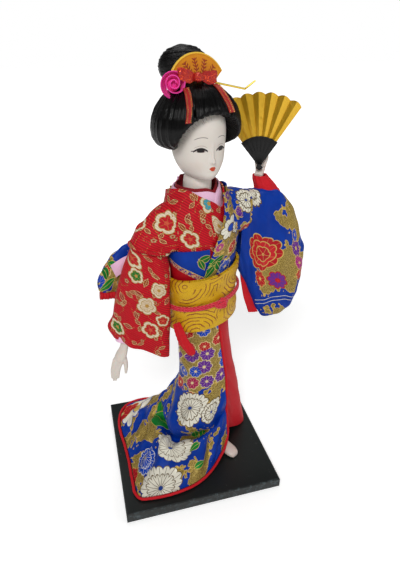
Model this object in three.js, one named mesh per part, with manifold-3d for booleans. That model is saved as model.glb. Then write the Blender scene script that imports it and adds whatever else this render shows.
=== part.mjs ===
// A dressed doll on a square board, in millimetres, with +Z up.
// The origin is the centre of the board's underside, and the board's front edge faces -Y.
// Inside the figure group +X is the doll's left, -Y its front, and heights start at the board's top.
import * as THREE from "three";
import { mergeVertices } from "three/addons/utils/BufferGeometryUtils.js";
import Module from "manifold-3d";

const wasm = await Module();
wasm.setup();

// Board and stand
const boardWidth = 120;
const boardThickness = 8.8;
const boardBevel = 0.7;
const figureX = 14;
const figureY = 6.7;
const figureTurn = 15;
const legWireRadius = 1.3;
const legWireTop = 60;
const boardHoleClearance = 0.3;
const footLength = 32;
const footHalfWidth = 5.4;
const footHeight = 9;

// Cloth and clearances
const clothThickness = 0.9;
const skirtClothThickness = 1.0;
const layerGap = 0.35;
const pieceGap = 0.3;
const pipingRadius = 1.2;

// Body
const coreBottom = 40;
const waistHalfWidth = 19.8;
const waistHalfDepth = 15.4;
const chestHalfWidth = 26;
const chestHalfDepth = 16.5;
const coreTop = 204;
const coreInset = 0.6;
const armRadius = 3.6;
const handReach = 31;
const wristRadius = 3.1;

// Belt
const obiBottom = 121;
const obiHeight = 41;
const obiThickness = 2.2;
const obiTilt = 0.15;
const obiTopFlare = 1.5;
const obiBottomFlare = 0.5;
const obiCordRadius = 1.7;
const obiCordShare = 0.48;
const bowHalfWidth = 43;
const bowHeight = 25;
const bowThickness = 11;

// Skirts
const skirtTop = 131;
const underSkirtHemWidth = 33;
const underSkirtHemDepth = 20.5;
const underSkirtHemLift = 10;
const trainFoldHeight = 2.2;
const creaseDepth = 4;

// Sleeves
const sleeveHalfThickness = 8;
const leftSleeveHalfThickness = 8.5;

// Neck and head
const neckX = -1;
const neckY = 2;
const neckRadius = 9.9;
const neckBottom = coreTop + 1;
const neckPegRadius = 5;
const neckPegLength = 16;
const neckPegClearance = 0.35;
const neckLength = 20.2;
const chinHeight = neckBottom + neckLength;
const headHeight = 50.8;
const headTop = chinHeight + headHeight;
const faceHalfWidth = 17.2;
const faceDepth = 19.5;
const collarX = -1.3;
const collarY = 2.9;
const collarHalfWidth = 18.4;
const collarHalfDepth = 16.2;
const collarHeight = 4.6;
const collarLean = 2.8;

// Hair and ornaments
const hairHalfWidth = 28.8;
const hairHalfDepth = 25;
const hairRise = 19.3;
const hairHeight = 37.5;
const hairBottom = chinHeight + hairRise;
const hairTop = hairBottom + hairHeight;
const hairFrontRise = 0.13;
const hairPartX = 12;
const hairPartY = 5;
const hairReach = 2 * hairHalfWidth;
const faceOpeningMargin = 0.3;
const faceOpeningFlare = 14.7;
const faceOpeningTop = 1.8;
const bunHalfWidth = 16.2;
const bunHalfDepth = 13.2;
const bunSink = 4.5;
const bunHeight = 23.7;
const bunBottom = hairTop - bunSink;
const combRadius = 19.6;
const combThickness = 1.4;
const roseRadius = 7.8;
const pinRadius = 0.65;
const pinShaft = 46;
const pinTip = 9;
const pinHoleClearance = 0.3;

// Fan
const fanRadius = 47.5;
const fanFrameRadius = 17.5;
const fanPleats = 7;
const fanPleatDepth = 2.2;
const fanLeafThickness = 0.6;
const fanLeftSpan = 40;
const fanRightSpan = 33;
const fanTurn = 135;
const rivetRadius = 0.9;
const rivetClearance = 0.3;

const degrees = Math.PI / 180;
const figure = new THREE.Group();
figure.position.set(figureX, figureY, boardThickness);
figure.rotation.z = figureTurn * degrees;
const doll = new THREE.Group();
doll.add(figure);

const finishes = {
  board: [0x141516, 0.42, 0.0],
  wire: [0x8c8c8c, 0.4, 1.0],
  stuffing: [0xc9bfa5, 0.95, 0.0],
  ivory: [0xe6dccb, 0.45, 0.0],
  tabi: [0xeee3e3, 0.6, 0.0],
  red: [0xc01523, 0.75, 0.0],
  darkRed: [0x8a0f1c, 0.7, 0.0],
  blue: [0x1d3f9c, 0.5, 0.0],
  brocade: [0x5b6a78, 0.55, 0.0],
  pink: [0xeab4d4, 0.7, 0.0],
  gold: [0xc79a18, 0.45, 0.2],
  cord: [0xe01f3c, 0.65, 0.0],
  hair: [0x0b0b0c, 0.35, 0.0],
  comb: [0xd9920f, 0.4, 0.3],
  glitter: [0xc8301f, 0.5, 0.2],
  rose: [0xe62f93, 0.5, 0.0],
  brass: [0xdcc84a, 0.3, 1.0],
  fanFrame: [0x0d0d0d, 0.3, 0.0],
  fanLeaf: [0xc99d1c, 0.3, 0.6],
};

function finish(key) {
  const [color, roughness, metalness] = finishes[key];
  return new THREE.MeshStandardMaterial({ color, roughness, metalness });
}

function addPiece(parent, name, geometry, key) {
  const mesh = new THREE.Mesh(geometry, finish(key));
  mesh.name = name;
  parent.add(mesh);
  return mesh;
}

// Solids as closed meshes
function toSolid(geometry) {
  const bare = new THREE.BufferGeometry();
  bare.setAttribute("position", geometry.getAttribute("position").clone());
  if (geometry.index) bare.setIndex(geometry.index.clone());
  const merged = mergeVertices(bare, 1e-4);
  return new wasm.Manifold(new wasm.Mesh({
    numProp: 3,
    vertProperties: new Float32Array(merged.getAttribute("position").array),
    triVerts: new Uint32Array(merged.index.array),
  }));
}

const cleanTolerance = 0.03;
function toGeometry(solid) {
  const mesh = solid.simplify(cleanTolerance).getMesh();
  const geometry = new THREE.BufferGeometry();
  geometry.setAttribute("position", new THREE.BufferAttribute(new Float32Array(mesh.vertProperties), 3));
  geometry.setIndex(new THREE.BufferAttribute(new Uint32Array(mesh.triVerts), 1));
  geometry.computeVertexNormals();
  return geometry;
}

function largest(solid) {
  return solid.decompose().reduce((a, b) => (b.volume() > a.volume() ? b : a));
}

function cut(geometry, ...tools) {
  let solid = toSolid(geometry);
  for (const tool of tools) solid = solid.subtract(toSolid(tool));
  return toGeometry(largest(solid));
}

function join(...geometries) {
  let solid = toSolid(geometries[0]);
  for (const other of geometries.slice(1)) solid = solid.add(toSolid(other));
  return toGeometry(largest(solid));
}

function meet(geometry, other) {
  return toGeometry(largest(toSolid(geometry).intersect(toSolid(other))));
}

function fromTriangles(points, triangles) {
  const geometry = new THREE.BufferGeometry();
  const flat = points.flatMap((p) => [p.x, p.y, p.z]);
  geometry.setAttribute("position", new THREE.BufferAttribute(new Float32Array(flat), 3));
  geometry.setIndex(triangles.flat());
  geometry.computeVertexNormals();
  return geometry;
}

// Turns the faces of a closed mesh outwards where its volume comes out negative
function facingOut(points, triangles) {
  let volume = 0;
  for (const [a, b, c] of triangles) {
    volume += points[a].dot(new THREE.Vector3().crossVectors(points[b], points[c]));
  }
  return volume < 0 ? triangles.map(([a, b, c]) => [a, c, b]) : triangles;
}

// A closed solid through rings that have the same number of points
function loft(rings) {
  const count = rings[0].length;
  const points = rings.flat();
  const triangles = [];
  for (let j = 0; j + 1 < rings.length; j++) {
    for (let i = 0; i < count; i++) {
      const a = j * count + i;
      const b = j * count + ((i + 1) % count);
      triangles.push([a, b, b + count], [a, b + count, a + count]);
    }
  }
  for (const [ring, base, flip] of [[rings[0], 0, true], [rings.at(-1), (rings.length - 1) * count, false]]) {
    const centre = ring.reduce((sum, p) => sum.add(p), new THREE.Vector3()).divideScalar(count);
    points.push(centre);
    for (let i = 0; i < count; i++) {
      const a = base + i;
      const b = base + ((i + 1) % count);
      triangles.push(flip ? [points.length - 1, b, a] : [points.length - 1, a, b]);
    }
  }
  return fromTriangles(points, facingOut(points, triangles));
}

// A sheet of cloth with its thickness, around the middle surface given as rows of points
function sheet(rows, thickness, closed = false) {
  const high = rows.length;
  const wide = rows[0].length;
  const at = (j, i) => rows[j][closed ? (i + wide) % wide : Math.min(wide - 1, Math.max(0, i))];
  const front = [];
  const back = [];
  for (let j = 0; j < high; j++) {
    for (let i = 0; i < wide; i++) {
      const along = at(j, i + 1).clone().sub(at(j, i - 1));
      const down = at(Math.min(high - 1, j + 1), i).clone().sub(at(Math.max(0, j - 1), i));
      const normal = along.cross(down).normalize().multiplyScalar(thickness / 2);
      front.push(rows[j][i].clone().add(normal));
      back.push(rows[j][i].clone().sub(normal));
    }
  }
  const points = [...front, ...back];
  const offset = front.length;
  const triangles = [];
  const across = closed ? wide : wide - 1;
  const quad = (a, b, c, d) => triangles.push([a, b, c], [a, c, d]);
  for (let i = 0; i < across; i++) {
    const next = (i + 1) % wide;
    for (let j = 0; j + 1 < high; j++) {
      const a = j * wide + i;
      const b = j * wide + next;
      quad(a, b, b + wide, a + wide);
      quad(offset + a, offset + a + wide, offset + b + wide, offset + b);
    }
    const last = (high - 1) * wide;
    quad(i, offset + i, offset + next, next);
    quad(last + i, last + next, offset + last + next, offset + last + i);
  }
  if (!closed) {
    for (let j = 0; j + 1 < high; j++) {
      const a = j * wide;
      const b = a + wide - 1;
      quad(a, a + wide, offset + a + wide, offset + a);
      quad(b, offset + b, offset + b + wide, b + wide);
    }
  }
  return fromTriangles(points, facingOut(points, triangles));
}

// A ring of points around a centre, with two half axes
function ovalRing(centre, halfA, halfB, sides, power = 1) {
  return Array.from({ length: sides }, (_, i) => {
    const angle = (2 * Math.PI * i) / sides;
    const c = Math.cos(angle);
    const s = Math.sin(angle);
    const u = Math.sign(c) * Math.abs(c) ** power;
    const v = Math.sign(s) * Math.abs(s) ** power;
    return centre.clone().addScaledVector(halfA, u).addScaledVector(halfB, v);
  });
}

function v3(x, y, z) {
  return new THREE.Vector3(x, y, z);
}

// A round tube that tapers along a list of stations, each a point and a radius
function taperedTube(stations, sides, grow = 0) {
  const rings = stations.map(([point, radius], k) => {
    const before = stations[Math.max(0, k - 1)][0];
    const after = stations[Math.min(stations.length - 1, k + 1)][0];
    const along = after.clone().sub(before).normalize();
    const side = v3(0, 1, 0).cross(along);
    if (side.length() < 0.2) side.copy(v3(1, 0, 0).cross(along));
    side.normalize();
    const other = along.clone().cross(side);
    return ovalRing(point, side.multiplyScalar(radius + grow), other.multiplyScalar(radius + grow), sides);
  });
  return loft(rings);
}

function sweptTube(points, radius, steps, sides) {
  const outline = new THREE.Shape();
  for (let i = 0; i < sides; i++) {
    const angle = (2 * Math.PI * i) / sides;
    const move = i === 0 ? "moveTo" : "lineTo";
    outline[move](radius * Math.cos(angle), radius * Math.sin(angle));
  }
  outline.closePath();
  const extrudePath = new THREE.CatmullRomCurve3(points, false, "centripetal");
  const settings = { steps, extrudePath, bevelEnabled: false, curveSegments: sides };
  return new THREE.ExtrudeGeometry(outline, settings);
}

function blob(centre, half, wide = 20, high = 12) {
  return new THREE.SphereGeometry(1, wide, high).rotateX(Math.PI / 2).scale(half.x, half.y, half.z)
    .translate(centre.x, centre.y, centre.z);
}

function bar(radius, from, to, sides = 12) {
  const along = to.clone().sub(from);
  const turn = new THREE.Quaternion().setFromUnitVectors(v3(0, 1, 0), along.clone().normalize());
  const middle = from.clone().add(to).multiplyScalar(0.5);
  return new THREE.CylinderGeometry(radius, radius, along.length(), sides).applyQuaternion(turn)
    .translate(middle.x, middle.y, middle.z);
}

// Oval sections up the body: height, half width, half depth, centre x and y
function sectionAt(sections, z) {
  let k = 0;
  while (k + 2 < sections.length && z > sections[k + 1][0]) k++;
  const [low, high] = [sections[k], sections[k + 1]];
  const share = Math.min(1, Math.max(0, (z - low[0]) / (high[0] - low[0])));
  return low.map((value, n) => value + (high[n] - value) * share);
}

function onSection(sections, angle, z, offset = 0) {
  const [, a, b, x, y] = sectionAt(sections, z);
  return v3(x + (a + offset) * Math.cos(angle * degrees), y + (b + offset) * Math.sin(angle * degrees), z);
}

const bodySections = [
  [coreBottom, 13, 12, 4, -0.5],
  [100, 15.5, 13.5, 2, -1],
  [132, waistHalfWidth, waistHalfDepth, 0.5, -1],
  [161, waistHalfWidth + 1.2, waistHalfDepth, 0.5, -1],
  [176, chestHalfWidth - 2.5, chestHalfDepth - 0.5, 0.5, -1],
  [191, chestHalfWidth, chestHalfDepth, 0, 0],
  [199, chestHalfWidth - 0.5, chestHalfDepth + 0.5, -0.5, 1],
  [205, chestHalfWidth - 3, chestHalfDepth + 1, -1, 2.5],
  [210, chestHalfWidth - 6, chestHalfDepth + 1.5, -1, 3.5],
  [214, chestHalfWidth - 7.5, chestHalfDepth + 2, -1.5, 4],
  [222, chestHalfWidth - 8.5, chestHalfDepth + 1, -1.5, 4],
];

const underSkirtSections = [
  [0.8, underSkirtHemWidth, underSkirtHemDepth, 11, 3],
  [26, 28.5, 19.5, 10, 2.5],
  [53, 23.5, 18, 9.5, 1],
  [76, 20, 16.6, 6.6, -0.5],
  [96, 19.2, 15.9, 4, -1],
  [117, 19.9, 15.9, 1.6, -1],
  [skirtTop, waistHalfWidth + 0.8, waistHalfDepth + 0.8, 0.5, -1],
];

const kimonoSections = [
  [68, 24.2, 20.6, 7, -1],
  [79, 22.6, 19.4, 6.2, -1],
  [90, 21.8, 18.8, 4.8, -1],
  [103, 21.6, 18.2, 3.2, -1],
  [117, 22.1, 17.8, 1.6, -1],
  [skirtTop, waistHalfWidth + 2.3, waistHalfDepth + 2.3, 0.5, -1],
];

// Base board with a hole for each leg wire
const ankles = { left: v3(2.5, -13, 0), right: v3(-9, -5, 0) };
const toes = { left: v3(9, -41, 0), right: v3(-13, -31, 0) };

function boardGeometry() {
  const half = boardWidth / 2 - boardBevel;
  const outline = new THREE.Shape();
  outline.moveTo(-half, -half);
  outline.lineTo(half, -half);
  outline.lineTo(half, half);
  outline.lineTo(-half, half);
  outline.closePath();
  for (const ankle of Object.values(ankles)) {
    const place = ankle.clone().applyAxisAngle(v3(0, 0, 1), figureTurn * degrees);
    const hole = new THREE.Path();
    const reach = legWireRadius + boardHoleClearance + boardBevel;
    hole.absarc(place.x + figureX, place.y + figureY, reach, 0, 2 * Math.PI);
    outline.holes.push(hole);
  }
  return new THREE.ExtrudeGeometry(outline, {
    depth: boardThickness - 2 * boardBevel,
    bevelThickness: boardBevel,
    bevelSize: boardBevel,
    bevelSegments: 1,
    curveSegments: 8,
  }).translate(0, 0, boardBevel);
}

addPiece(doll, "base_board", boardGeometry(), "board");

function legWire(side, grow = 0) {
  const low = ankles[side].clone().setZ(-boardThickness + 1 - grow);
  return bar(legWireRadius + grow, low, ankles[side].clone().setZ(legWireTop + grow));
}

// Each foot runs from a rounded heel behind the ankle to the split toe
function foot(side, grow = 0) {
  const along = toes[side].clone().sub(ankles[side]).normalize();
  const across = v3(-along.y, along.x, 0);
  const stations = [
    [0, 0.5, 0.55], [0.05, 0.78, 0.9], [0.2, 0.9, 1], [0.42, 0.85, 0.86], [0.65, 0.97, 0.72],
    [0.85, 0.98, 0.62], [0.95, 0.8, 0.5], [1, 0.5, 0.3],
  ];
  const rings = stations.map(([share, width, height]) => {
    const halfHeight = (footHeight * height) / 2 + grow;
    const centre = toes[side].clone().addScaledVector(along, footLength * (share - 1));
    centre.z = halfHeight - grow + pieceGap;
    const half = across.clone().multiplyScalar(footHalfWidth * width + grow);
    return ovalRing(centre, half, v3(0, 0, halfHeight), 14, 0.8);
  });
  return loft(rings);
}

for (const side of ["left", "right"]) {
  addPiece(figure, `leg_wire_${side}`, legWire(side), "wire");
  addPiece(figure, `foot_${side}`, cut(foot(side), legWire(side, pieceGap)), "tabi");
}

// Arms of wrapped wire
const armPaths = {
  right: [v3(-21, 2, 200), v3(-34, 4, 193), v3(-45, 6, 160), v3(-56, 8, 122), v3(-58.5, 8.3, 111)],
  left: [v3(21, 0, 201), v3(38, -6, 194), v3(60, -12.5, 176), v3(55, -9.5, 196), v3(45.4, -3.2, 217.5)],
};

function armEnd(side) {
  const curve = new THREE.CatmullRomCurve3(armPaths[side], false, "centripetal");
  const point = curve.getPoint(1);
  const along = point.clone().sub(curve.getPoint(0.9)).normalize();
  return { point, along };
}

function arm(side, grow = 0) {
  const curve = new THREE.CatmullRomCurve3(armPaths[side], false, "centripetal");
  const steps = 10;
  const stations = Array.from({ length: steps + 1 }, (_, k) => {
    const point = curve.getPoint(k / steps);
    return [point, armRadius * (1 - 0.15 * (k / steps))];
  });
  if (grow > 0) {
    const end = stations[steps][0].clone().sub(stations[steps - 1][0]).normalize();
    stations.push([stations[steps][0].clone().addScaledVector(end, grow), stations[steps][1]]);
  }
  return taperedTube(stations, 10, grow);
}

// Head and neck
const neckAxis = v3(neckX, neckY, 0);
const headCentre = v3(neckX, neckY - 1.5, 0);

function neckPeg(grow = 0) {
  const low = neckAxis.clone().setZ(neckBottom - neckPegLength - grow);
  return bar(neckPegRadius + grow, low, neckAxis.clone().setZ(neckBottom + 2), 20);
}

function neck(grow = 0) {
  const low = neckAxis.clone().setZ(neckBottom - grow);
  return bar(neckRadius + grow, low, neckAxis.clone().setZ(chinHeight + 3), 24);
}

// Height above the chin, half width, front reach, back reach and nose
const faceRings = [
  [0, 0.3, 0.74, 0.12, 0],
  [0.8, 0.47, 0.83, 0.2, 0],
  [3.4, 0.64, 0.9, 0.32, 0],
  [6, 0.76, 0.93, 0.45, 0],
  [9, 0.86, 0.95, 0.6, 0.6],
  [11.2, 0.91, 0.95, 0.7, 2.4],
  [14, 0.96, 0.93, 0.8, 1.2],
  [18, 0.99, 0.92, 0.9, 0.2],
  [24, 1, 0.98, 0.98, 0],
  [31, 0.98, 1, 1, 0],
  [37, 0.9, 0.93, 0.95, 0],
  [42, 0.75, 0.77, 0.8, 0],
  [46, 0.5, 0.5, 0.55, 0],
];

function skull(grow = 0) {
  const sides = 26;
  const top = headTop - chinHeight;
  const rings = faceRings.map(([rise, width, front, back, nose]) => {
    const z = chinHeight + (rise * top) / 48.6;
    return Array.from({ length: sides }, (_, i) => {
      const angle = (2 * Math.PI * i) / sides - Math.PI / 2;
      const reach = Math.sin(angle) < 0 ? front * faceDepth : back * faceDepth;
      const x = (faceHalfWidth * width + grow) * Math.cos(angle);
      const point = v3(headCentre.x + x, headCentre.y + (reach + grow) * Math.sin(angle), z);
      if (nose > 0 && i === 0) point.y -= nose;
      return point;
    });
  });
  if (grow > 0) {
    const crown = headCentre.clone().setZ(headTop + grow);
    rings.push(ovalRing(crown, v3(0, -6, 0), v3(6, 0, 0), sides));
  }
  return loft(rings);
}

const headGeometry = join(skull(), neck(), neckPeg());

// Body core, with sockets for the neck peg and the leg wires
function bodyCore() {
  const heights = [coreBottom, 70, 100, 132, 161, 176, 191, 199, coreTop];
  const rings = heights.map((z) => {
    const [, a, b, x, y] = sectionAt(bodySections, z);
    return ovalRing(v3(x, y, z), v3(a - coreInset, 0, 0), v3(0, b - coreInset, 0), 22);
  });
  return loft(rings);
}

addPiece(figure, "body_core", cut(
  bodyCore(),
  neckPeg(neckPegClearance),
  legWire("left", pieceGap),
  legWire("right", pieceGap),
  arm("left", pieceGap),
  arm("right", pieceGap),
), "stuffing");

addPiece(figure, "arm_right", arm("right"), "stuffing");
addPiece(figure, "arm_left", arm("left"), "stuffing");

// Under-skirt, lifted at the front where the feet come out
function underSkirt() {
  const columns = 34;
  const levels = [0, 0.12, 0.3, 0.55, 0.8, 1];
  const rows = levels.map((share) => Array.from({ length: columns }, (_, i) => {
    const angle = -90 - (360 * i) / columns;
    const fromFeet = Math.abs(((angle + 112 + 900) % 360) - 180);
    const lift = underSkirtHemLift * Math.exp(-((fromFeet / 46) ** 4));
    const low = underSkirtSections[0][0] + lift;
    const z = low + (skirtTop - low) * (1 - share);
    const wave = 1.1 * Math.sin(7 * angle * degrees) * share ** 2;
    return onSection(underSkirtSections, angle, z, wave);
  }));
  return sheet(rows, clothThickness, true);
}

addPiece(figure, "under_skirt", underSkirt(), "red");

// Kimono skirt: columns of cloth from the waist down to the hem, the hem given by its corners on the board
const hemPoints = [
  [7.5, -30, 12], [-4, -36, 5], [-16, -42, 1.8], [-32, -47, 1.8], [-50, -46, 1.8], [-65, -41.8, 1.8],
  [-74.3, -36.6, 1.8], [-72.4, -22, 1.8], [-67.5, -3, 1.8], [-63.5, 17, 1.8], [-60, 37, 1.8], [-53, 52, 1.8],
  [-44, 59, 1.8], [-31, 59, 1.8],
  [-16, 52, 1.8], [1, 44, 1.8], [17, 38, 1.8], [30, 32, 1.8], [39, 26, 1.8],
].map(([x, y, z]) => v3(x, y, z));
const hemCurve = new THREE.CatmullRomCurve3(hemPoints, false, "centripetal");
const skirtFrontAngle = -84;
const skirtWrapAngle = 247;
const skirtRoom = 2.6;

function bell(value, middle, width) {
  return Math.exp(-(((value - middle) / width) ** 2));
}

function kimonoPoint(u, level) {
  const angle = skirtFrontAngle - skirtWrapAngle * u;
  const flareTop = kimonoSections[0][0];
  if (level <= 0) return onSection(kimonoSections, angle, flareTop - level * (skirtTop - flareTop));
  const start = onSection(kimonoSections, angle, flareTop);
  const end = hemCurve.getPoint(u);
  const train = bell(u, 0.48, 0.34);
  const share = level ** (1 + 0.3 * train);
  const point = start.clone().lerp(end, share);
  point.z = end.z + (flareTop - end.z) * (1 - level) ** (1.05 + 0.75 * train);
  const tuck = bell(u, 0.24, 0.17);
  point.z += tuck * (creaseDepth * bell(level, 0.42, 0.16) - creaseDepth * bell(level, 0.7, 0.1));
  const folds = bell(u, 0.6, 0.22) * Math.sin(2 * Math.PI * 9 * u);
  point.z += trainFoldHeight * folds * 4 * level * (1 - level);

  // Kept outside the under-skirt
  const [, a, b, x, y] = sectionAt(underSkirtSections, point.z);
  const [dx, dy] = [point.x - x, point.y - y];
  const reach = Math.hypot(dx / (a + skirtRoom), dy / (b + skirtRoom));
  if (reach < 1) point.set(x + dx / reach, y + dy / reach, point.z);
  return point;
}

const skirtLevels = [-1, -0.76, -0.5, -0.25, 0, 0.12, 0.25, 0.38, 0.5, 0.61, 0.71, 0.83, 1];
const skirtColumns = 44;

function kimonoSkirt() {
  const rows = skirtLevels.map((level) => (
    Array.from({ length: skirtColumns }, (_, i) => kimonoPoint(i / (skirtColumns - 1), level))
  ));
  return sheet(rows, skirtClothThickness);
}

// Padded piping along the front edge and the hem
const pipingLift = 0.15;
function hemPiping(grow = 0) {
  const away = pipingRadius + skirtClothThickness / 2 + layerGap + pieceGap;
  const points = [];
  for (const level of [-0.72, -0.4, 0, 0.25, 0.5, 0.75, 0.9]) {
    const edge = kimonoPoint(0, level);
    const inner = kimonoPoint(0.03, level);
    points.push(edge.clone().addScaledVector(edge.clone().sub(inner).setZ(0).normalize(), away));
  }
  for (let k = 1; k <= 34; k++) {
    const u = k / 34;
    const edge = kimonoPoint(u, 1);
    const along = hemCurve.getTangent(u);
    const outward = v3(-along.y, along.x, 0).normalize();
    const point = edge.clone().addScaledVector(outward, away);
    point.z = Math.max(pipingRadius + pipingLift, edge.z);
    points.push(point);
  }
  return sweptTube(points, pipingRadius + grow, 54, 6);
}

addPiece(figure, "kimono_skirt", cut(kimonoSkirt(), hemPiping(pieceGap)), "blue");
addPiece(figure, "hem_piping", hemPiping(), "red");

// Cloth that wraps the upper body between two angles, from a low edge to a high edge
const wrapLevels = [1, 0.9, 0.8, 0.72, 0.55, 0.34, 0];
function wrap({ from, to, columns, low, high, offset, levels = wrapLevels }) {
  const closed = Math.abs(to - from) >= 360;
  const rows = levels.map((share) => Array.from({ length: columns }, (_, i) => {
    const angle = from + ((to - from) * i) / (closed ? columns : columns - 1);
    return onSection(bodySections, angle, low + (high(angle) - low) * share, offset);
  }));
  return sheet(rows, clothThickness, closed);
}

const firstLayer = layerGap + clothThickness / 2;
const layerStep = clothThickness + layerGap;
const bodiceBottom = skirtTop + 3;

function wave(angle, middle, width) {
  const away = Math.abs(((angle - middle + 540) % 360) - 180);
  return Math.exp(-((away / width) ** 2));
}

// Shoulder and sleeve rings given by an outer and an inner edge point and a half thickness
function edgeRings(stations, sides, power, grow = 0) {
  return stations.map(([outer, inner, half, facing]) => {
    const middle = outer.clone().add(inner).multiplyScalar(0.5);
    const spread = outer.clone().sub(middle);
    const flat = v3(spread.x, spread.y, 0);
    const through = flat.length() > 1e-3 ? v3(-flat.y, flat.x, 0).normalize() : v3(0, 1, 0);
    spread.setLength(spread.length() + grow);
    return ovalRing(middle, spread, (facing ?? through).clone().multiplyScalar(half + grow), sides, power);
  });
}

const rightSeam = [v3(-49, 7, 185), v3(-27.5, -2, 178.7)];

function rightShoulder(grow = 0) {
  return loft(edgeRings([
    [v3(-10, 4, 213), v3(-10, 2, 192), 11],
    [v3(-20, 4.5, 211), v3(-18, 1, 187), 11.5],
    [v3(-28, 5, 207.5), v3(-24, -0.5, 184), 11.5],
    [v3(-37, 6, 200.5), v3(-27, -1.5, 181.5), 10.5],
    [v3(-44, 7, 192.5), v3(-27.7, -2, 180), 9.5],
    [rightSeam[0], rightSeam[1], sleeveHalfThickness + 0.4],
  ], 20, 0.9, grow));
}

const collarTop = (angle) => (
  207.5 + 8.5 * wave(angle, -180, 62) + 4 * wave(angle, 90, 50) + 10.5 * wave(angle, 0, 55)
);

function rightSleeveStations() {
  const drop = v3(0, 0, -pieceGap);
  return [
    [rightSeam[0].clone().add(drop), rightSeam[1].clone().add(drop), sleeveHalfThickness + 0.2],
    [v3(-53.5, 7.5, 172), v3(-26.4, -4.4, 162), sleeveHalfThickness],
    [v3(-57, 9.5, 161), v3(-27.6, -5.6, 152), sleeveHalfThickness + 0.2],
    [v3(-60, 11, 151), v3(-28.8, -6.4, 142), sleeveHalfThickness - 0.6],
    [v3(-64, 13.3, 131), v3(-29.6, -7, 122), sleeveHalfThickness - 0.8],
    [v3(-68, 13.8, 123.5), v3(-31, -7.2, 106), sleeveHalfThickness - 1.5],
    [v3(-65.5, 11, 115.5), v3(-31.6, -7.6, 97.2), sleeveHalfThickness - 2.5],
  ];
}

// Hanging folds: the faces of a sleeve move in and out along its width
function foldedRings(stations, sides, power, folds, depth) {
  const rings = edgeRings(stations, sides, power);
  rings.forEach((ring, j) => {
    const share = j / (rings.length - 1);
    const [outer, inner] = stations[j];
    const across = outer.clone().sub(inner);
    const flat = v3(across.x, across.y, 0);
    const through = flat.length() > 1e-3 ? v3(-flat.y, flat.x, 0).normalize() : v3(0, 1, 0);
    for (const point of ring) {
      const along = point.clone().sub(inner).dot(across) / across.lengthSq();
      const side = Math.sign(point.clone().sub(inner).dot(through));
      const inside = Math.max(0, 4 * along * (1 - along));
      point.addScaledVector(through, side * depth * share * inside * Math.sin(2 * Math.PI * folds * along));
    }
  });
  return rings;
}

function rightCuff(grow = 0) {
  const rings = [
    [v3(-55.5, 7.9, 123 + grow), 6.6], [v3(-57, 8.1, 117), 6.8], [v3(-58.2, 8.3, 111.6 - grow), 6.6],
  ].map(([centre, radius]) => ovalRing(centre, v3(radius + grow, -1.5, -1.5), v3(1, 4.6 + grow, 0), 16));
  return loft(rings);
}

// Belt: obi, cord and knot follow the same oval and the same tilt
const obiInner = firstLayer + 2.5 * layerStep + layerGap + 0.25;
function obiPoint(angle, share, offset) {
  const [, a, b, x, y] = sectionAt(bodySections, obiBottom + obiHeight / 2);
  const px = x + (a + offset) * Math.cos(angle * degrees);
  const py = y + (b + offset) * Math.sin(angle * degrees);
  return v3(px, py, obiBottom + obiHeight * share + obiTilt * px);
}

function obiFlare(share) {
  return (share > 0.5 ? obiTopFlare : obiBottomFlare) * (2 * Math.min(1, Math.max(0, share)) - 1) ** 2;
}

function obi() {
  const columns = 30;
  const offset = obiInner + obiThickness / 2;
  const rows = [1, 0.75, 0.5, 0.25, 0].map((share) => Array.from({ length: columns }, (_, i) => (
    obiPoint((-360 * i) / columns, share, offset + obiFlare(share))
  )));
  return sheet(rows, obiThickness, true);
}

addPiece(figure, "obi", obi(), "gold");

const cordOffset = obiInner + obiThickness + 0.45 + obiCordRadius + pieceGap;
function obiCord() {
  const columns = 32;
  const rings = Array.from({ length: columns }, (_, i) => {
    const angle = (-360 * i) / columns;
    const centre = obiPoint(angle, obiCordShare, cordOffset);
    const outward = v3(Math.cos(angle * degrees), Math.sin(angle * degrees), 0).multiplyScalar(obiCordRadius);
    return ovalRing(centre, outward, v3(0, 0, obiCordRadius * 1.15), 6);
  });
  const points = rings.flat();
  const triangles = [];
  const count = rings[0].length;
  for (let j = 0; j < columns; j++) {
    for (let i = 0; i < count; i++) {
      const next = (i + 1) % count;
      const [a, b] = [j * count + i, j * count + next];
      const [c, d] = [((j + 1) % columns) * count + next, ((j + 1) % columns) * count + i];
      triangles.push([a, b, c], [a, c, d]);
    }
  }
  return fromTriangles(points, facingOut(points, triangles));
}

const cordGeometry = obiCord();
addPiece(figure, "obi_cord", cordGeometry, "cord");
const knotCentre = obiPoint(-86, obiCordShare, cordOffset + obiCordRadius + pieceGap + 2.6);
addPiece(figure, "cord_knot", blob(knotCentre, v3(5, 2.4, 3.3), 12, 8), "cord");

// The space that the belt and its cord take, grown by a gap
function beltRoom(gap) {
  const outer = (share) => obiInner + obiThickness + obiFlare(share) + gap;
  const cord = cordOffset + obiCordRadius + gap;
  const half = (obiCordRadius * 1.15 + gap) / obiHeight;
  const step = 0.03;
  const end = gap / obiHeight;
  return loft([
    [-end, outer(0)],
    [0.2, outer(0.2)],
    [obiCordShare - half - step, outer(obiCordShare - half - step)],
    [obiCordShare - half, cord],
    [obiCordShare + half, cord],
    [obiCordShare + half + step, outer(obiCordShare + half + step)],
    [0.8, outer(0.8)],
    [1 + end, outer(1)],
  ].map(([share, offset]) => (
    Array.from({ length: 30 }, (_, i) => obiPoint((-360 * i) / 30, share, offset))
  )));
}

const armHoles = [arm("left", pieceGap), arm("right", pieceGap)];

// The red bodice comes up close to the pink collar's edge at the doll's right front,
// and dips where the collar crosses
const bodiceRise = 4.8;
const bodiceDip = 5;
const bodiceTop = (angle) => (
  collarTop(angle) + bodiceRise * wave(angle, -130, 45) - bodiceDip * wave(angle, -64, 14)
);
const redBodiceWrap = wrap({
  from: -90,
  to: -450,
  columns: 28,
  low: bodiceBottom,
  high: bodiceTop,
  offset: firstLayer,
});

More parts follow.
